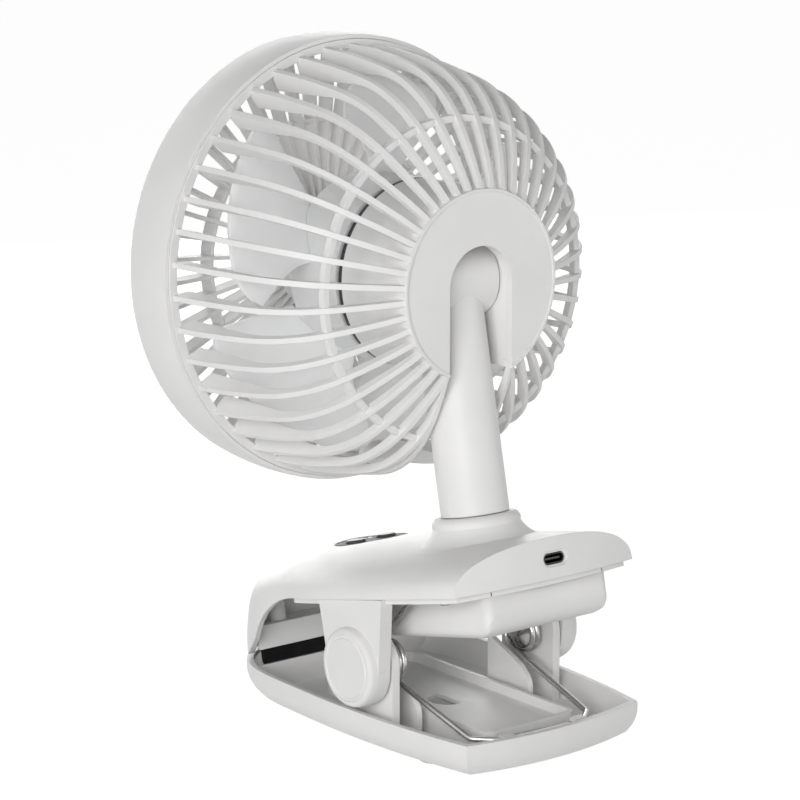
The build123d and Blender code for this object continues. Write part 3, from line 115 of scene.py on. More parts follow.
# ---------------------------------------------------------------- material building
@dataclass
class Tree:
    """A material's node tree, with short ways to add and join nodes."""

    material: bpy.types.Material
    nodes: bpy.types.Nodes = field(init=False)
    links: bpy.types.NodeLinks = field(init=False)
    shader: bpy.types.Node = field(init=False)

    def __post_init__(self) -> None:
        """Start from the plain surface shader."""
        self.material.use_nodes = True
        self.nodes = self.material.node_tree.nodes
        self.links = self.material.node_tree.links
        self.shader = self.nodes["Principled BSDF"]

    def add(self, kind: str, **settings: object) -> bpy.types.Node:
        """Add a node and set its properties.

        Args:
            kind: Node type, such as ShaderNodeBump.
            settings: Properties of the node by name.

        Returns:
            The new node.
        """
        node = self.nodes.new(kind)
        for name, value in settings.items():
            setattr(node, name, value)
        return node

    def join(self, source: bpy.types.NodeSocket, target: bpy.types.NodeSocket) -> None:
        """Link one socket to another."""
        self.links.new(source, target)

    def place(self) -> bpy.types.NodeSocket:
        """Where a point lies on the object, in metres."""
        return self.add("ShaderNodeTexCoord").outputs["Object"]

    def noise(self, size: float, detail: float = 3.0, spread: float = 0.55) -> bpy.types.NodeSocket:
        """Even noise.

        Args:
            size: Width of one feature in metres.
            detail: Number of finer octaves.
            spread: Share that each octave keeps.

        Returns:
            The noise value's socket.
        """
        node = self.add("ShaderNodeTexNoise")
        node.inputs["Scale"].default_value = 1.0 / size
        node.inputs["Detail"].default_value = detail
        node.inputs["Roughness"].default_value = spread
        self.join(self.place(), node.inputs["Vector"])
        return node.outputs["Fac"]

    def between(self, source: bpy.types.NodeSocket, low: float, high: float, out_low: float,
                out_high: float) -> bpy.types.NodeSocket:
        """Map a range of a value onto another range.

        Args:
            source: The value.
            low: Start of the range that is read.
            high: End of the range that is read.
            out_low: What the start becomes.
            out_high: What the end becomes.

        Returns:
            The mapped value's socket.
        """
        node = self.add("ShaderNodeMapRange", clamp=True)
        self.join(source, node.inputs["Value"])
        ends = {"From Min": low, "From Max": high, "To Min": out_low, "To Max": out_high}
        for name, value in ends.items():
            node.inputs[name].default_value = value
        return node.outputs["Result"]

    def blend(self, share: bpy.types.NodeSocket, first: tuple[float, float, float] | bpy.types.NodeSocket,
              second: tuple[float, float, float]) -> bpy.types.NodeSocket:
        """Blend two colours by a share.

        Args:
            share: Value from 0, the first colour, to 1, the second.
            first: Colour or a colour's socket.
            second: Colour.

        Returns:
            The blended colour's socket.
        """
        node = self.add("ShaderNodeMix", data_type="RGBA")
        self.join(share, node.inputs["Factor"])
        if isinstance(first, tuple):
            node.inputs["A"].default_value = (*first, 1.0)
        else:
            self.join(first, node.inputs["A"])
        node.inputs["B"].default_value = (*second, 1.0)
        return node.outputs["Result"]

    def edge_normal_and_highlight_mask(self, radius: float) -> tuple[bpy.types.NodeSocket, bpy.types.NodeSocket]:
        """Rounded-edge normal, and how near a point is to an outer or inner edge, the mask where a highlight
        is painted.

        Args:
            radius: Radius of the rounded edge in metres.

        Returns:
            The normal's socket and the nearness's socket, 0 on flats and up to 1 on edges.
        """
        round_edge = self.add("ShaderNodeBevel", samples=6)
        round_edge.inputs["Radius"].default_value = radius
        flat = self.add("ShaderNodeNewGeometry")
        dot = self.add("ShaderNodeVectorMath", operation="DOT_PRODUCT")
        self.join(round_edge.outputs["Normal"], dot.inputs[0])
        self.join(flat.outputs["Normal"], dot.inputs[1])
        return round_edge.outputs["Normal"], self.between(dot.outputs["Value"], 0.995, 0.80, 0.0, 1.0)


def scaled(colour: tuple[float, float, float], amount: float) -> tuple[float, float, float]:
    """A colour made lighter or darker by a share of itself."""
    return tuple(min(c * (1.0 + amount), 1.0) for c in colour)


def paler(colour: tuple[float, float, float], amount: float) -> tuple[float, float, float]:
    """A colour moved toward white by an amount."""
    return tuple(c + (1.0 - c) * amount for c in colour)


@dataclass(frozen=True)
class Finish:
    """One finish of the fan, made as a procedural material."""

    slot: Slot
    colour: tuple[float, float, float]
    roughness: float
    grain: Grain = Grain.SPARK
    grain_size: float = 0.42 * MM
    grain_depth: float = 0.012 * MM
    mottle: float = 0.03
    edge_radius: float = 0.35 * MM
    # share of paler colour painted along edges as a highlight
    painted_edge_highlight: float = 0.35
    settings: tuple[tuple[str, float | tuple[float, float, float]], ...] = ()

    def material(self) -> bpy.types.Material:
        """Build the material: colour, mottle, grain, roughness and a painted highlight that makes edges
        paler.

        Returns:
            The finished material.
        """
        tree = Tree(bpy.data.materials.new(self.slot.value))
        normal, edge = tree.edge_normal_and_highlight_mask(self.edge_radius)
        cloud = tree.between(tree.noise(22 * MM, 4.0), 0.3, 0.7, 0.0, 1.0)
        colour = tree.blend(cloud, scaled(self.colour, -self.mottle), scaled(self.colour, self.mottle))
        # painted highlight: the base colour turns paler near outer and inner edges
        painted_highlight = tree.add("ShaderNodeMath", operation="MULTIPLY")
        tree.join(edge, painted_highlight.inputs[0])
        painted_highlight.inputs[1].default_value = self.painted_edge_highlight
        colour = tree.blend(painted_highlight.outputs[0], colour, paler(self.colour, 0.4))
        tree.join(colour, tree.shader.inputs["Base Color"])
        handled = tree.noise(6 * MM, 5.0, 0.65)
        rub = tree.between(handled, 0.35, 0.68, self.roughness * 0.88, self.roughness * 1.1)
        tree.join(rub, tree.shader.inputs["Roughness"])
        tree.join(self._relief(tree, normal), tree.shader.inputs["Normal"])
        for name, value in self.settings:
            tree.shader.inputs[name].default_value = value
        return tree.material

    def _height(self, tree: Tree) -> bpy.types.NodeSocket:
        """The grain's height pattern.

        Args:
            tree: The material's tree.

        Returns:
            The height's socket.
        """
        if self.grain is Grain.CELLS:
            cells = tree.add("ShaderNodeTexVoronoi", feature="F1")
            cells.inputs["Scale"].default_value = 1.0 / self.grain_size
            cells.inputs["Randomness"].default_value = 1.0
            tree.join(tree.place(), cells.inputs["Vector"])
            return cells.outputs["Distance"]
        if self.grain is Grain.TURNS:
            turns = tree.add("ShaderNodeTexWave", wave_type="RINGS", rings_direction="Y", wave_profile="SIN")
            turns.inputs["Scale"].default_value = 0.3 / self.grain_size
            tree.join(tree.place(), turns.inputs["Vector"])
            return turns.outputs["Fac"]
        if self.grain is Grain.DRAWN:
            return tree.noise(self.grain_size, 6.0, 0.75)
        if self.grain is Grain.SMOOTH:
            return tree.noise(self.grain_size * 20, 2.0)
        return tree.noise(self.grain_size, 2.0, 0.5)

    def _relief(self, tree: Tree, normal: bpy.types.NodeSocket) -> bpy.types.NodeSocket:
        """Raise the grain on the rounded-edge normal.

        Args:
            tree: The material's tree.
            normal: The rounded-edge normal's socket.

        Returns:
            The final normal's socket.
        """
        bump = tree.add("ShaderNodeBump")
        bump.inputs["Strength"].default_value = 0.5
        bump.inputs["Distance"].default_value = self.grain_depth
        tree.join(self._height(tree), bump.inputs["Height"])
        tree.join(normal, bump.inputs["Normal"])
        return bump.outputs["Normal"]


FINISHES: tuple[Finish, ...] = (
    Finish(Slot.WHITE, (0.81, 0.805, 0.80), 0.48, grain_depth=0.03 * MM, mottle=0.02,
           settings=(("IOR", 1.5), ("Specular IOR Level", 0.4))),
    Finish(Slot.FOOT_RUBBER, (0.62, 0.62, 0.61), 0.75, mottle=0.06, painted_edge_highlight=0.1),
    Finish(Slot.STEEL, (0.55, 0.545, 0.53), 0.26, Grain.DRAWN, 0.15 * MM, 0.01 * MM, 0.12, 0.1 * MM, 0.2,
           (("Metallic", 1.0),)),
    Finish(Slot.FOAM, (0.012, 0.012, 0.013), 0.95, Grain.CELLS, 0.45 * MM, 0.25 * MM, 0.3, 0.6 * MM, 0.02,
           (("Specular IOR Level", 0.05), ("Sheen Weight", 0.02))),
    Finish(Slot.PANEL, (0.018, 0.018, 0.020), 0.48, Grain.SMOOTH, 0.5 * MM, 0.004 * MM, 0.2, 0.3 * MM, 0.1,
           (("Specular IOR Level", 0.03),)),
    Finish(Slot.LIGHT, (0.72, 0.75, 0.78), 0.30, Grain.SMOOTH, mottle=0.02, painted_edge_highlight=0.1,
           settings=(("Transmission Weight", 0.4),)),
    Finish(Slot.SOCKET, (0.05, 0.05, 0.052), 0.34, Grain.DRAWN, 0.2 * MM, 0.006 * MM, 0.1, 0.15 * MM, 0.15,
           (("Metallic", 0.9),)),
    Finish(Slot.BOARD, (0.035, 0.17, 0.09), 0.32, Grain.SPARK, 0.9 * MM, 0.03 * MM, 0.18, 0.15 * MM, 0.2,
           (("Coat Weight", 0.3),)),
    Finish(Slot.CELL, (0.10, 0.25, 0.46), 0.28, Grain.SMOOTH, 0.4 * MM, 0.01 * MM, 0.06, 0.3 * MM, 0.2,
           (("Coat Weight", 0.4),)),
    Finish(Slot.SCREW, (0.50, 0.50, 0.49), 0.33, Grain.DRAWN, 0.2 * MM, 0.01 * MM, 0.1, 0.12 * MM, 0.3,
           (("Metallic", 1.0),)),
    Finish(Slot.BUTTON, (0.085, 0.085, 0.088), 0.35, Grain.SPARK, 0.35 * MM, 0.006 * MM, 0.05, 0.3 * MM, 0.1,
           (("Specular IOR Level", 0.1),)),
    Finish(Slot.INNER, (0.70, 0.69, 0.66), 0.50, Grain.SPARK, 0.6 * MM, 0.012 * MM, 0.04),
    Finish(Slot.SHEATH, (0.03, 0.03, 0.03), 0.55, Grain.SMOOTH, 0.4 * MM, 0.006 * MM, 0.1, 0.2 * MM, 0.1),
    Finish(Slot.RING, (0.022, 0.022, 0.023), 0.50, Grain.SPARK, 0.35 * MM, 0.01 * MM, 0.1, 0.2 * MM, 0.08),
    Finish(Slot.WINDING, (0.46, 0.20, 0.08), 0.30, Grain.TURNS, 0.3 * MM, 0.12 * MM, 0.15, 0.15 * MM, 0.2,
           (("Metallic", 0.85),)),
    Finish(Slot.BLADE, (0.90, 0.905, 0.91), 0.34, Grain.SMOOTH, 0.5 * MM, 0.006 * MM, 0.012, 0.3 * MM, 0.25,
           (("Subsurface Weight", 0.7), ("Subsurface Scale", 0.008), ("Subsurface Radius", (1.0, 1.0, 1.0)))),
    Finish(Slot.ROTOR, (0.34, 0.34, 0.35), 0.38, Grain.DRAWN, 0.3 * MM, 0.01 * MM, 0.1, 0.2 * MM, 0.2,
           (("Metallic", 1.0),)),
)


# ---------------------------------------------------------------- pieces
@dataclass
class Piece:
    """A mesh that stands on a body of the frame."""

    name: str
    body: str
    slot: Slot
    material: bpy.types.Material

    def settle(self, mesh: bpy.types.Mesh) -> bpy.types.Object:
        """Make the object from its finished mesh and let it ride.

        Args:
            mesh: Mesh in the frame's own place.

        Returns:
            The new object.
        """
        mesh.materials.clear()
        mesh.materials.append(self.material)
        piece = bpy.data.objects.new(self.name, mesh)
        bpy.context.scene.collection.objects.link(piece)
        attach(piece, self.body)
        LOG.info("%s rides on %s with %d faces", self.name, self.body, len(mesh.polygons))
        return piece


def shade(form: bmesh.types.BMesh, turn: float) -> None:
    """Smooth all faces and keep edges sharp that turn more than an angle.

    Args:
        form: The bmesh.
        turn: Angle in degrees.
    """
    for face in form.faces:
        face.smooth = True
    for edge in form.edges:
        edge.smooth = len(edge.link_faces) == 2 and edge.calc_face_angle(math.pi) < math.radians(turn)


def even_normals(piece: bpy.types.Object) -> None:
    """Let the large faces set the shading beside small ones.

    Args:
        piece: The piece that is shaded.
    """
    modifier = piece.modifiers.new("even_normals", "WEIGHTED_NORMAL")
    modifier.keep_sharp = True
    modifier.weight = 80


@dataclass(frozen=True)
class Cut:
    """A straight-sided space taken out of both sides of a node.

    Its outline lies in YZ and it reaches from near to far along X, all in millimetres.
    """

    outline: tuple[tuple[float, float], ...]
    near: float
    far: float

    def mesh(self, sign: float) -> bpy.types.Mesh:
        """The space as a closed prism.

        Args:
            sign: 1 for the +X side and -1 for the other.

        Returns:
            The prism's mesh.
        """
        form = bmesh.new()
        rim = [form.verts.new((self.near * sign * MM, y * MM, z * MM)) for y, z in self.outline]
        bmesh.ops.contextual_create(form, geom=rim)
        made = bmesh.ops.extrude_face_region(form, geom=form.faces[:])
        moved = [item for item in made["geom"] if isinstance(item, bmesh.types.BMVert)]
        bmesh.ops.translate(form, verts=moved, vec=((self.far - self.near) * sign * MM, 0.0, 0.0))
        bmesh.ops.recalc_face_normals(form, faces=form.faces)
        mesh = bpy.data.meshes.new("cut")
        form.to_mesh(mesh)
        form.free()
        return mesh


# the gussets slope down under the coils
GUSSET_CUT = Cut(
    ((25.2, 14.6), (24.2, 17.0), (22.4, 18.8), (19.5, 20.4), (15.5, 22.2), (10.0, 24.6), (3.9, 27.2),
     (-2.0, 29.8), (-2.0, 60.0), (40.0, 60.0), (40.0, 14.6)),
    23.5, 27.6,
)
# the pins end at the coils
PIN_CUT = Cut(((0.0, 20.0), (25.0, 20.0), (25.0, 45.0), (0.0, 45.0)), 20.0, 27.9)
CUTS: dict[str, tuple[Cut, ...]] = {
    "lower_jaw": (GUSSET_CUT,),
    "hinge_pins": (PIN_CUT,),
}


@dataclass(frozen=True)
class ClipLean:
    """Place of the upper clip half: turned about the clip's pivot."""

    pivot: tuple[float, float, float] = (0.0, 11.0 * MM, 31.5 * MM)
    tilt: float = 12.0

    def matrix(self) -> Matrix:
        """From the upper half's own frame to the world."""
        return Matrix.Translation(self.pivot) @ Matrix.Rotation(math.radians(self.tilt), 4, "X")


@dataclass
class BatteryBox:
    """Smooth outer walls of the battery box, with rounded corners that flow into the round lower edges."""

    material: bpy.types.Material
    half_width: float = 27.5 * MM
    front: float = -16.0 * MM
    rear: float = 56.2 * MM
    low: float = 7.3 * MM
    high: float = 21.9 * MM
    strip_half_width: float = 28.0 * MM
    strip_front: float = -17.0 * MM
    strip_rear: float = 57.0 * MM
    plate_low: float = 21.68 * MM
    wall: float = 1.8 * MM
    lower_round: float = 8.0 * MM
    corner_share: float = 0.42
    segments: int = 12

    def strip(self, form: bmesh.types.BMesh) -> None:
        """Take the plain box off a copy of the tray, up to the tray's plate.

        Args:
            form: The tray's merged copy.
        """
        to_upper = ClipLean().matrix().inverted()
        doomed = []
        for face in form.faces:
            middle = to_upper @ face.calc_center_median()
            within_length = self.strip_front < middle.y < self.strip_rear
            if abs(middle.x) < self.strip_half_width and within_length and middle.z < self.plate_low:
                doomed.append(face)
        bmesh.ops.delete(form, geom=doomed, context="FACES")

    def build(self) -> bpy.types.Object:
        """Bevel a block's upright and lower edges, by weight, and open its top.

        Returns:
            The box.
        """
        form = bmesh.new()
        size = Vector((2 * self.half_width, self.rear - self.front, self.high - self.low))
        middle = Vector((0.0, (self.rear + self.front) / 2, (self.high + self.low) / 2))
        place = Matrix.Translation(middle) @ Matrix.Diagonal((*size, 1.0))
        bmesh.ops.create_cube(form, size=1.0, matrix=place)
        top = [face for face in form.faces if face.normal.z > 0.9]
        bmesh.ops.delete(form, geom=top, context="FACES_ONLY")
        weight = form.edges.layers.float.new("bevel_weight_edge")
        for edge in form.edges:
            if edge.is_boundary:
                continue
            one, other = (vert.co for vert in edge.verts)
            runs_across = abs(one.x - other.x) > self.half_width
            edge[weight] = 1.0 if runs_across and one.y > middle.y else self.corner_share
        for face in form.faces:
            face.smooth = True
        mesh = bpy.data.meshes.new("battery_box")
        form.to_mesh(mesh)
        form.free()
        mesh.transform(ClipLean().matrix())
        piece = Piece("battery_box", "upper_clip", Slot.WHITE, self.material).settle(mesh)
        bevel = piece.modifiers.new("rounding", "BEVEL")
        bevel.limit_method = "WEIGHT"
        bevel.width = self.lower_round
        bevel.segments = self.segments
        bevel.harden_normals = True
        walls = piece.modifiers.new("walls", "SOLIDIFY")
        walls.thickness = self.wall
        walls.offset = -1.0
        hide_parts("battery_tray")
        return piece


def carve(mesh: bpy.types.Mesh, cuts: tuple[Cut, ...]) -> bpy.types.Mesh:
    """Take cuts out of both sides of a closed mesh.

    Args:
        mesh: The mesh, which is used up.
        cuts: Spaces to take out.

    Returns:
        The carved mesh.
    """
    host = bpy.data.objects.new("host", mesh)
    bpy.context.scene.collection.objects.link(host)
    tools = []
    for cut in cuts:
        for sign in (1.0, -1.0):
            tool = bpy.data.objects.new("tool", cut.mesh(sign))
            bpy.context.scene.collection.objects.link(tool)
            tools.append(tool)
            modifier = host.modifiers.new("cut", "BOOLEAN")
            modifier.operation = "DIFFERENCE"
            modifier.solver = "EXACT"
            modifier.object = tool
    shown = host.evaluated_get(bpy.context.evaluated_depsgraph_get())
    carved = bpy.data.meshes.new_from_object(shown)
    for spare in (host, *tools):
        bpy.data.objects.remove(spare)
    return carved


@dataclass
class MouldedShells:
    """The rigid nodes that show, each as a merged copy with clean shading."""

    frame: dict
    materials: dict[Slot, bpy.types.Material]
    turn: float = 27.0
    shown: dict[str, str] = field(default_factory=lambda: {
        "lower_jaw": "lower_clip",
        "rubber_feet": "lower_clip",
        "hinge_pins": "lower_clip",
        "upper_shell": "upper_clip",
        "battery_tray": "upper_clip",
        "pivot_caps": "upper_clip",
        "jaw_plate": "upper_clip",
        "control_panel": "upper_clip",
        "usb_socket": "upper_clip",
        "power_button": "power_key",
        "timer_button": "timer_key",
        "neck_tube": "neck",
        "rear_guard": "head",
        "motor_housing": "head",
        "mount_ring": "head",
        "front_cover": "head",
        "centre_cap": "head",
        "impeller": "fan_wheel",
    })

    def build(self) -> list[bpy.types.Object]:
        """Copy, merge and shade each node that shows.

        Returns:
            The new pieces.
        """
        slots = node_slots(self.frame)
        pieces = []
        for node, body in self.shown.items():
            slot = slots[node]
            mesh = self._shell(node)
            piece = Piece(f"{node}_shell", body, slot, self.materials[slot]).settle(mesh)
            even_normals(piece)
            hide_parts(node)
            pieces.append(piece)
        return pieces

    def _shell(self, node: str) -> bpy.types.Mesh:
        """A merged copy of a node's triangles, carved, its flats joined and its shading clean.

        Args:
            node: The node's name.

        Returns:
            The new mesh.
        """
        form = bmesh.new()
        form.from_mesh(self.frame["nodes"][node].data)
        bmesh.ops.remove_doubles(form, verts=form.verts, dist=MERGE)
        if node == "battery_tray":
            BatteryBox(self.materials[Slot.WHITE]).strip(form)
        mesh = bpy.data.meshes.new(f"{node}_shell")
        form.to_mesh(mesh)
        spare = mesh.attributes.get("custom_normal")
        if spare is not None:
            mesh.attributes.remove(spare)
        if node in CUTS:
            mesh = carve(mesh, CUTS[node])
            form.clear()
            form.from_mesh(mesh)
        bmesh.ops.dissolve_limit(
            form, angle_limit=FLAT, verts=form.verts, edges=form.edges, use_dissolve_boundaries=False
        )
        shade(form, self.turn)
        form.to_mesh(mesh)
        form.free()
        return mesh


def node_slots(frame: dict) -> dict[str, Slot]:
    """Each node's slot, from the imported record."""
    return {part["node"]: Slot(part["material_slot"]) for part in frame["record"]["subparts"]}


@dataclass
class InnerParts:
    """The nodes inside the shells, which keep their own meshes."""

    frame: dict
    materials: dict[Slot, bpy.types.Material]

    def dress(self, covered: set[str]) -> None:
        """Give each node that isn't covered by a piece its finish.

        Args:
            covered: Nodes that pieces stand for.
        """
        for name, slot in node_slots(self.frame).items():
            if name in covered:
                continue
            node = self.frame["nodes"][name]
            node.data.materials.clear()
            node.data.materials.append(self.materials[slot])
            LOG.info("%s keeps its own mesh", name)


@dataclass
class WireBender:
    """Forms a round wire by feeding it forward and bending it."""

    radius: float
    place: Vector
    heading: Vector
    sides: int = 16
    form: bmesh.types.BMesh = field(default_factory=bmesh.new)
    ring: list[bmesh.types.BMEdge] = field(default_factory=list)

    def __post_init__(self) -> None:
        """Set the first ring across the heading."""
        self.heading = self.heading.normalized()
        turn = self.heading.to_track_quat("Z", "Y").to_matrix().to_4x4()
        made = bmesh.ops.create_circle(
            self.form, cap_ends=True, segments=self.sides, radius=self.radius,
            matrix=Matrix.Translation(self.place) @ turn,
        )
        self.ring = list({edge for vert in made["verts"] for edge in vert.link_edges})

    def feed(self, length: float, steps: int = 1) -> None:
        """Push the wire straight on.

        Args:
            length: Distance in metres.
            steps: Number of rings along it.
        """
        for _ in range(steps):
            made = bmesh.ops.extrude_edge_only(self.form, edges=self.ring)
            verts = [item for item in made["geom"] if isinstance(item, bmesh.types.BMVert)]
            bmesh.ops.translate(self.form, verts=verts, vec=self.heading * (length / steps))
            self.ring = [
                edge for edge in made["geom"]
                if isinstance(edge, bmesh.types.BMEdge) and all(vert in verts for vert in edge.verts)
            ]
        self.place = self.place + self.heading * length

    def wind(self, centre: Vector, axis: Vector, angle: float, advance: float, step: float) -> None:
        """Turn the wire about an axis, moving along the axis as it goes.

        Args:
            centre: A point on the axis.
            axis: Direction of the axis, right-handed about which the wire turns.
            angle: Whole turn in radians.
            advance: Whole distance along the axis, signed along the axis.
            step: Largest turn between two rings, in radians.
        """
        steps = max(2, math.ceil(angle / step))
        unit = axis.normalized()
        made = bmesh.ops.spin(
            self.form, geom=self.ring, cent=centre, axis=unit, dvec=unit * (advance / steps), angle=angle,
            steps=steps, use_duplicate=False,
        )
        self.ring = [item for item in made["geom_last"] if isinstance(item, bmesh.types.BMEdge)]
        turn = Matrix.Rotation(angle, 3, unit)
        self.place = centre + turn @ (self.place - centre) + unit * advance
        self.heading = (turn @ self.heading).normalized()

    def bend(self, heading: Vector, radius: float) -> None:
        """Bend the wire into a new heading.

        Args:
            heading: The new direction.
            radius: Radius of the bend at the wire's middle.
        """
        target = heading.normalized()
        axis = self.heading.cross(target)
        angle = self.heading.angle(target)
        if angle < 1e-4:
            return
        centre = self.place + axis.cross(self.heading).normalized() * radius
        self.wind(centre, axis, angle, 0.0, math.radians(9))

    def cut(self) -> bmesh.types.BMesh:
        """Close the end.

        Returns:
            The finished wire.
        """
        bmesh.ops.contextual_create(self.form, geom=self.ring)
        bmesh.ops.recalc_face_normals(self.form, faces=self.form.faces)
        return self.form


@dataclass(frozen=True)
class SpringSide:
    """How one side of the spring lies: its coil has some play on the pin, and its knee on the ledge."""

    name: str
    sign: float
    coil_start: float
    pivot_z: float
    knee_x: float
    knee_z: float


@dataclass
class ClipSpring:
    """The double torsion spring: bend, legs, coils and arms, as two wires that meet in the middle.

    The leg falls from its coil and the arm rises from it by angles in degrees.
    """

    material: bpy.types.Material
    sides: tuple[SpringSide, ...] = (
        SpringSide("right", 1.0, 27.4 * MM, 31.1 * MM, 26.0 * MM, 12.2 * MM),
        SpringSide("left", -1.0, 28.9 * MM, 30.6 * MM, 27.8 * MM, 11.0 * MM),
    )
    pivot_y: float = 12.7 * MM
    wire: float = 1.08 * MM
    coil: float = 6.8 * MM
    pitch: float = 2.2 * MM
    leg_fall: float = 17.64
    arm_rise: float = 46.0
    whole_turns: int = 2
    bend_y: float = 59.3 * MM
    bend_x: float = 19.0 * MM
    knee_y: float = 51.6 * MM
    ledge: float = 11.6 * MM
    bend_radius: float = 3.5 * MM
    arm: float = 28.4 * MM

    def build(self) -> list[bpy.types.Object]:
        """Wind each side's wire and mirror the one of the -X side.

        Returns:
            Both wires.
        """
        pieces = []
        for side in self.sides:
            form = self._half(side)
            if side.sign < 0:
                bmesh.ops.scale(form, vec=(-1.0, 1.0, 1.0), verts=form.verts)
                bmesh.ops.recalc_face_normals(form, faces=form.faces)
            shade(form, 50.0)
            mesh = bpy.data.meshes.new(f"spring_wire_{side.name}")
            form.to_mesh(mesh)
            form.free()
            mesh.materials.append(self.material)
            piece = bpy.data.objects.new(f"spring_wire_{side.name}", mesh)
            bpy.context.scene.collection.objects.link(piece)
            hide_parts("torsion_spring", "spring_arms")
            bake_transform(piece)
            LOG.info("%s bends with the clip, %d faces", piece.name, len(mesh.polygons))
            pieces.append(piece)
        return pieces

    def _turns(self) -> float:
        """Turns of one coil."""
        return self.whole_turns + (180.0 - self.arm_rise - self.leg_fall) / 360.0

    def _half(self, side: SpringSide) -> bmesh.types.BMesh:
        """Half the spring, from the middle of its bend to the end of its arm.

        Args:
            side: How this side lies.

        Returns:
            The wire, on the +X side.
        """
        fall = math.radians(self.leg_fall)
        middle = Vector((0.0, self.bend_y, self.ledge))
        corner = Vector((self.bend_x, self.bend_y, side.knee_z))
        knee = Vector((side.knee_x, self.knee_y, side.knee_z))
        start = Vector((
            side.coil_start,
            self.pivot_y - self.coil * math.sin(fall),
            side.pivot_z - self.coil * math.cos(fall),
        ))
        wire = WireBender(self.wire, middle, corner - middle)
        for here, there in ((corner, knee), (knee, start)):
            heading = (there - here).normalized()
            reach = self.bend_radius * math.tan(wire.heading.angle(heading) / 2)
            wire.feed((here - wire.place).dot(wire.heading) - reach)
            wire.bend(heading, self.bend_radius)
        wire.feed((start - wire.place).length, 3)
        axis = Vector((-1.0, 0.0, 0.0))
        centre = Vector((side.coil_start, self.pivot_y, side.pivot_z))
        angle = 2 * math.pi * self._turns()
        wire.wind(centre, axis, angle, -self.pitch * self._turns(), math.radians(7.5))
        rise = math.radians(self.arm_rise)
        wire.heading = Vector((0.0, math.cos(rise), math.sin(rise)))
        wire.feed(self.arm, 3)
        return wire.cut()


@dataclass
class GripPad:
    """Firm black foam wedge under the jaw plate."""

    frame: dict
    material: bpy.types.Material
    cell: float = 0.7 * MM

    def build(self) -> bpy.types.Object:
        """Remesh the wedge in fine cells and soften its edges.

        Returns:
            The pad.
        """
        form = bmesh.new()
        form.from_mesh(self.frame["nodes"]["jaw_pad"].data)
        bmesh.ops.remove_doubles(form, verts=form.verts, dist=MERGE)
        mesh = bpy.data.meshes.new("grip_pad")
        form.to_mesh(mesh)
        form.free()
        piece = Piece("grip_pad", "upper_clip", Slot.FOAM, self.material).settle(mesh)
        cells = piece.modifiers.new("cells", "REMESH")
        cells.mode = "VOXEL"
        cells.voxel_size = self.cell
        cells.use_smooth_shade = True
        soften = piece.modifiers.new("soften", "SMOOTH")
        soften.factor = 0.5
        soften.iterations = 3
        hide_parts("jaw_pad")
        return piece


# ---------------------------------------------------------------- studio
@dataclass(frozen=True)
class Softbox:
    """One square lamp, aimed at the fan."""

    name: str
    place: tuple[float, float, float]
    size: float
    power: float

    def hang(self, aim: Vector) -> None:
        """Make the lamp and turn it to a point.

        Args:
            aim: The point that it faces.
        """
        lamp = bpy.data.lights.new(self.name, "AREA")
        lamp.shape = "SQUARE"
        lamp.size = self.size
        lamp.energy = self.power
        holder = bpy.data.objects.new(self.name, lamp)
        holder.location = Vector(self.place)
        holder.rotation_euler = (aim - holder.location).to_track_quat("-Z", "Y").to_euler()
        bpy.context.scene.collection.objects.link(holder)


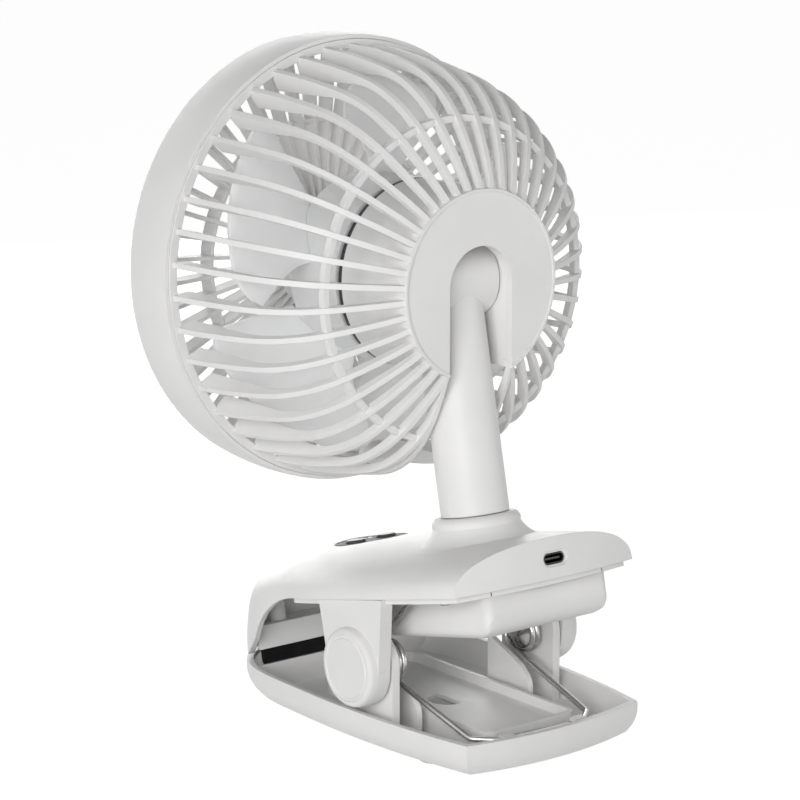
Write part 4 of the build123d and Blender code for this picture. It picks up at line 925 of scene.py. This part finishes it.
@dataclass
class Studio:
    """Camera, floor, lamps and white surroundings."""

    azimuth: float = 141.408
    elevation: float = 12.074
    eye: tuple[float, float, float] = (0.6114, 0.7471, 0.3246)
    lens: float = 126.105
    surround_level: float = 0.48
    surround_overhead: float = 0.06
    glow: float = 1.33
    glow_share: float = 0.70
    aim: Vector = field(default_factory=lambda: Vector((0.0, 0.0, 0.13)))
    lamps: tuple[Softbox, ...] = (
        Softbox("key", (0.97, 0.66, 0.36), 0.7, 9.0),
        Softbox("right_fill", (-0.85, 0.70, 0.30), 0.8, 2.6),
        Softbox("through_front", (-0.40, -1.05, 0.24), 1.0, 11.0),
    )

    def build(self) -> None:
        """Set up the whole studio."""
        scene = bpy.context.scene
        scene.view_settings.view_transform = "Standard"
        self._camera(scene)
        self._surroundings(scene)
        self._floor()
        for lamp in self.lamps:
            lamp.hang(self.aim)

    def _camera(self, scene: bpy.types.Scene) -> None:
        """Stand the camera where the photograph was taken from.

        Args:
            scene: The scene that gets the camera.
        """
        turn, tip = math.radians(self.azimuth), math.radians(self.elevation)
        right = Vector((math.cos(turn), math.sin(turn), 0.0))
        back = Vector((math.sin(turn) * math.cos(tip), -math.cos(turn) * math.cos(tip), math.sin(tip)))
        upward = back.cross(right)
        place = Matrix((right, upward, back)).transposed().to_4x4()
        place.translation = Vector(self.eye)
        lens = bpy.data.cameras.new("camera")
        lens.lens = self.lens
        lens.sensor_width = 36.0
        lens.clip_start = 0.01
        camera = bpy.data.objects.new("camera", lens)
        camera.matrix_world = place
        scene.collection.objects.link(camera)
        scene.camera = camera

    def _surroundings(self, scene: bpy.types.Scene) -> None:
        """White to the eye, in reflections and through clear parts, and a softer light, least from above.

        Args:
            scene: The scene that gets the world.
        """
        world = bpy.data.worlds.new("surroundings")
        scene.world = world
        world.use_nodes = True
        nodes, links = world.node_tree.nodes, world.node_tree.links
        backing = nodes["Background"]
        backing.inputs["Color"].default_value = (1.0, 1.0, 1.0, 1.0)
        level = nodes.new("ShaderNodeMapRange")
        height = nodes.new("ShaderNodeSeparateXYZ")
        links.new(nodes.new("ShaderNodeTexCoord").outputs["Generated"], height.inputs[0])
        fall = nodes.new("ShaderNodeMapRange")
        fall.inputs["To Min"].default_value = self.surround_level
        fall.inputs["To Max"].default_value = self.surround_overhead
        links.new(height.outputs["Z"], fall.inputs["Value"])
        links.new(fall.outputs["Result"], level.inputs["To Min"])
        level.inputs["To Max"].default_value = 1.0
        links.new(self._direct_ray(nodes, links), level.inputs["Value"])
        links.new(level.outputs["Result"], backing.inputs["Strength"])

    @staticmethod
    def _direct_ray(nodes: bpy.types.Nodes, links: bpy.types.NodeLinks) -> bpy.types.NodeSocket:
        """Whether a ray comes from the eye, a gloss or a clear part.

        Args:
            nodes: The tree's nodes.
            links: The tree's links.

        Returns:
            A value's socket, 1 for such a ray and 0 for the others.
        """
        path = nodes.new("ShaderNodeLightPath")
        seen = path.outputs["Is Camera Ray"]
        for kind in ("Is Glossy Ray", "Is Transmission Ray"):
            either = nodes.new("ShaderNodeMath")
            either.operation = "MAXIMUM"
            links.new(seen, either.inputs[0])
            links.new(path.outputs[kind], either.inputs[1])
            seen = either.outputs[0]
        return seen

    def _floor(self) -> None:
        """Pale floor that keeps a light shadow."""
        form = bmesh.new()
        bmesh.ops.create_circle(form, cap_ends=True, segments=64, radius=6.0)
        mesh = bpy.data.meshes.new("floor")
        form.to_mesh(mesh)
        form.free()
        floor = bpy.data.objects.new("floor", mesh)
        bpy.context.scene.collection.objects.link(floor)
        tree = Tree(bpy.data.materials.new("pale_floor"))
        tree.shader.inputs["Base Color"].default_value = (0.86, 0.86, 0.86, 1.0)
        tree.shader.inputs["Roughness"].default_value = 0.9
        tree.shader.inputs["Specular IOR Level"].default_value = 0.0
        glow = tree.add("ShaderNodeEmission")
        glow.inputs["Strength"].default_value = self.glow
        mix = tree.add("ShaderNodeMixShader")
        share = tree.add("ShaderNodeMath", operation="MULTIPLY")
        share.inputs[1].default_value = self.glow_share
        tree.join(self._direct_ray(tree.nodes, tree.links), share.inputs[0])
        tree.join(share.outputs[0], mix.inputs[0])
        tree.join(tree.shader.outputs[0], mix.inputs[1])
        tree.join(glow.outputs[0], mix.inputs[2])
        tree.join(mix.outputs[0], tree.nodes["Material Output"].inputs["Surface"])
        mesh.materials.append(tree.material)


def main() -> None:
    """Build the studio and every piece, in order."""
    logging.basicConfig(level=logging.INFO, format="%(message)s")
    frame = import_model()
    materials = {finish.slot: finish.material() for finish in FINISHES}
    Studio().build()
    MouldedShells(frame, materials).build()
    BatteryBox(materials[Slot.WHITE]).build()
    ClipSpring(materials[Slot.STEEL]).build()
    GripPad(frame, materials[Slot.FOAM]).build()
    covered = {name for name, node in frame["nodes"].items() if node.hide_render}
    InnerParts(frame, materials).dress(covered)


if __name__ == "__main__":
    main()
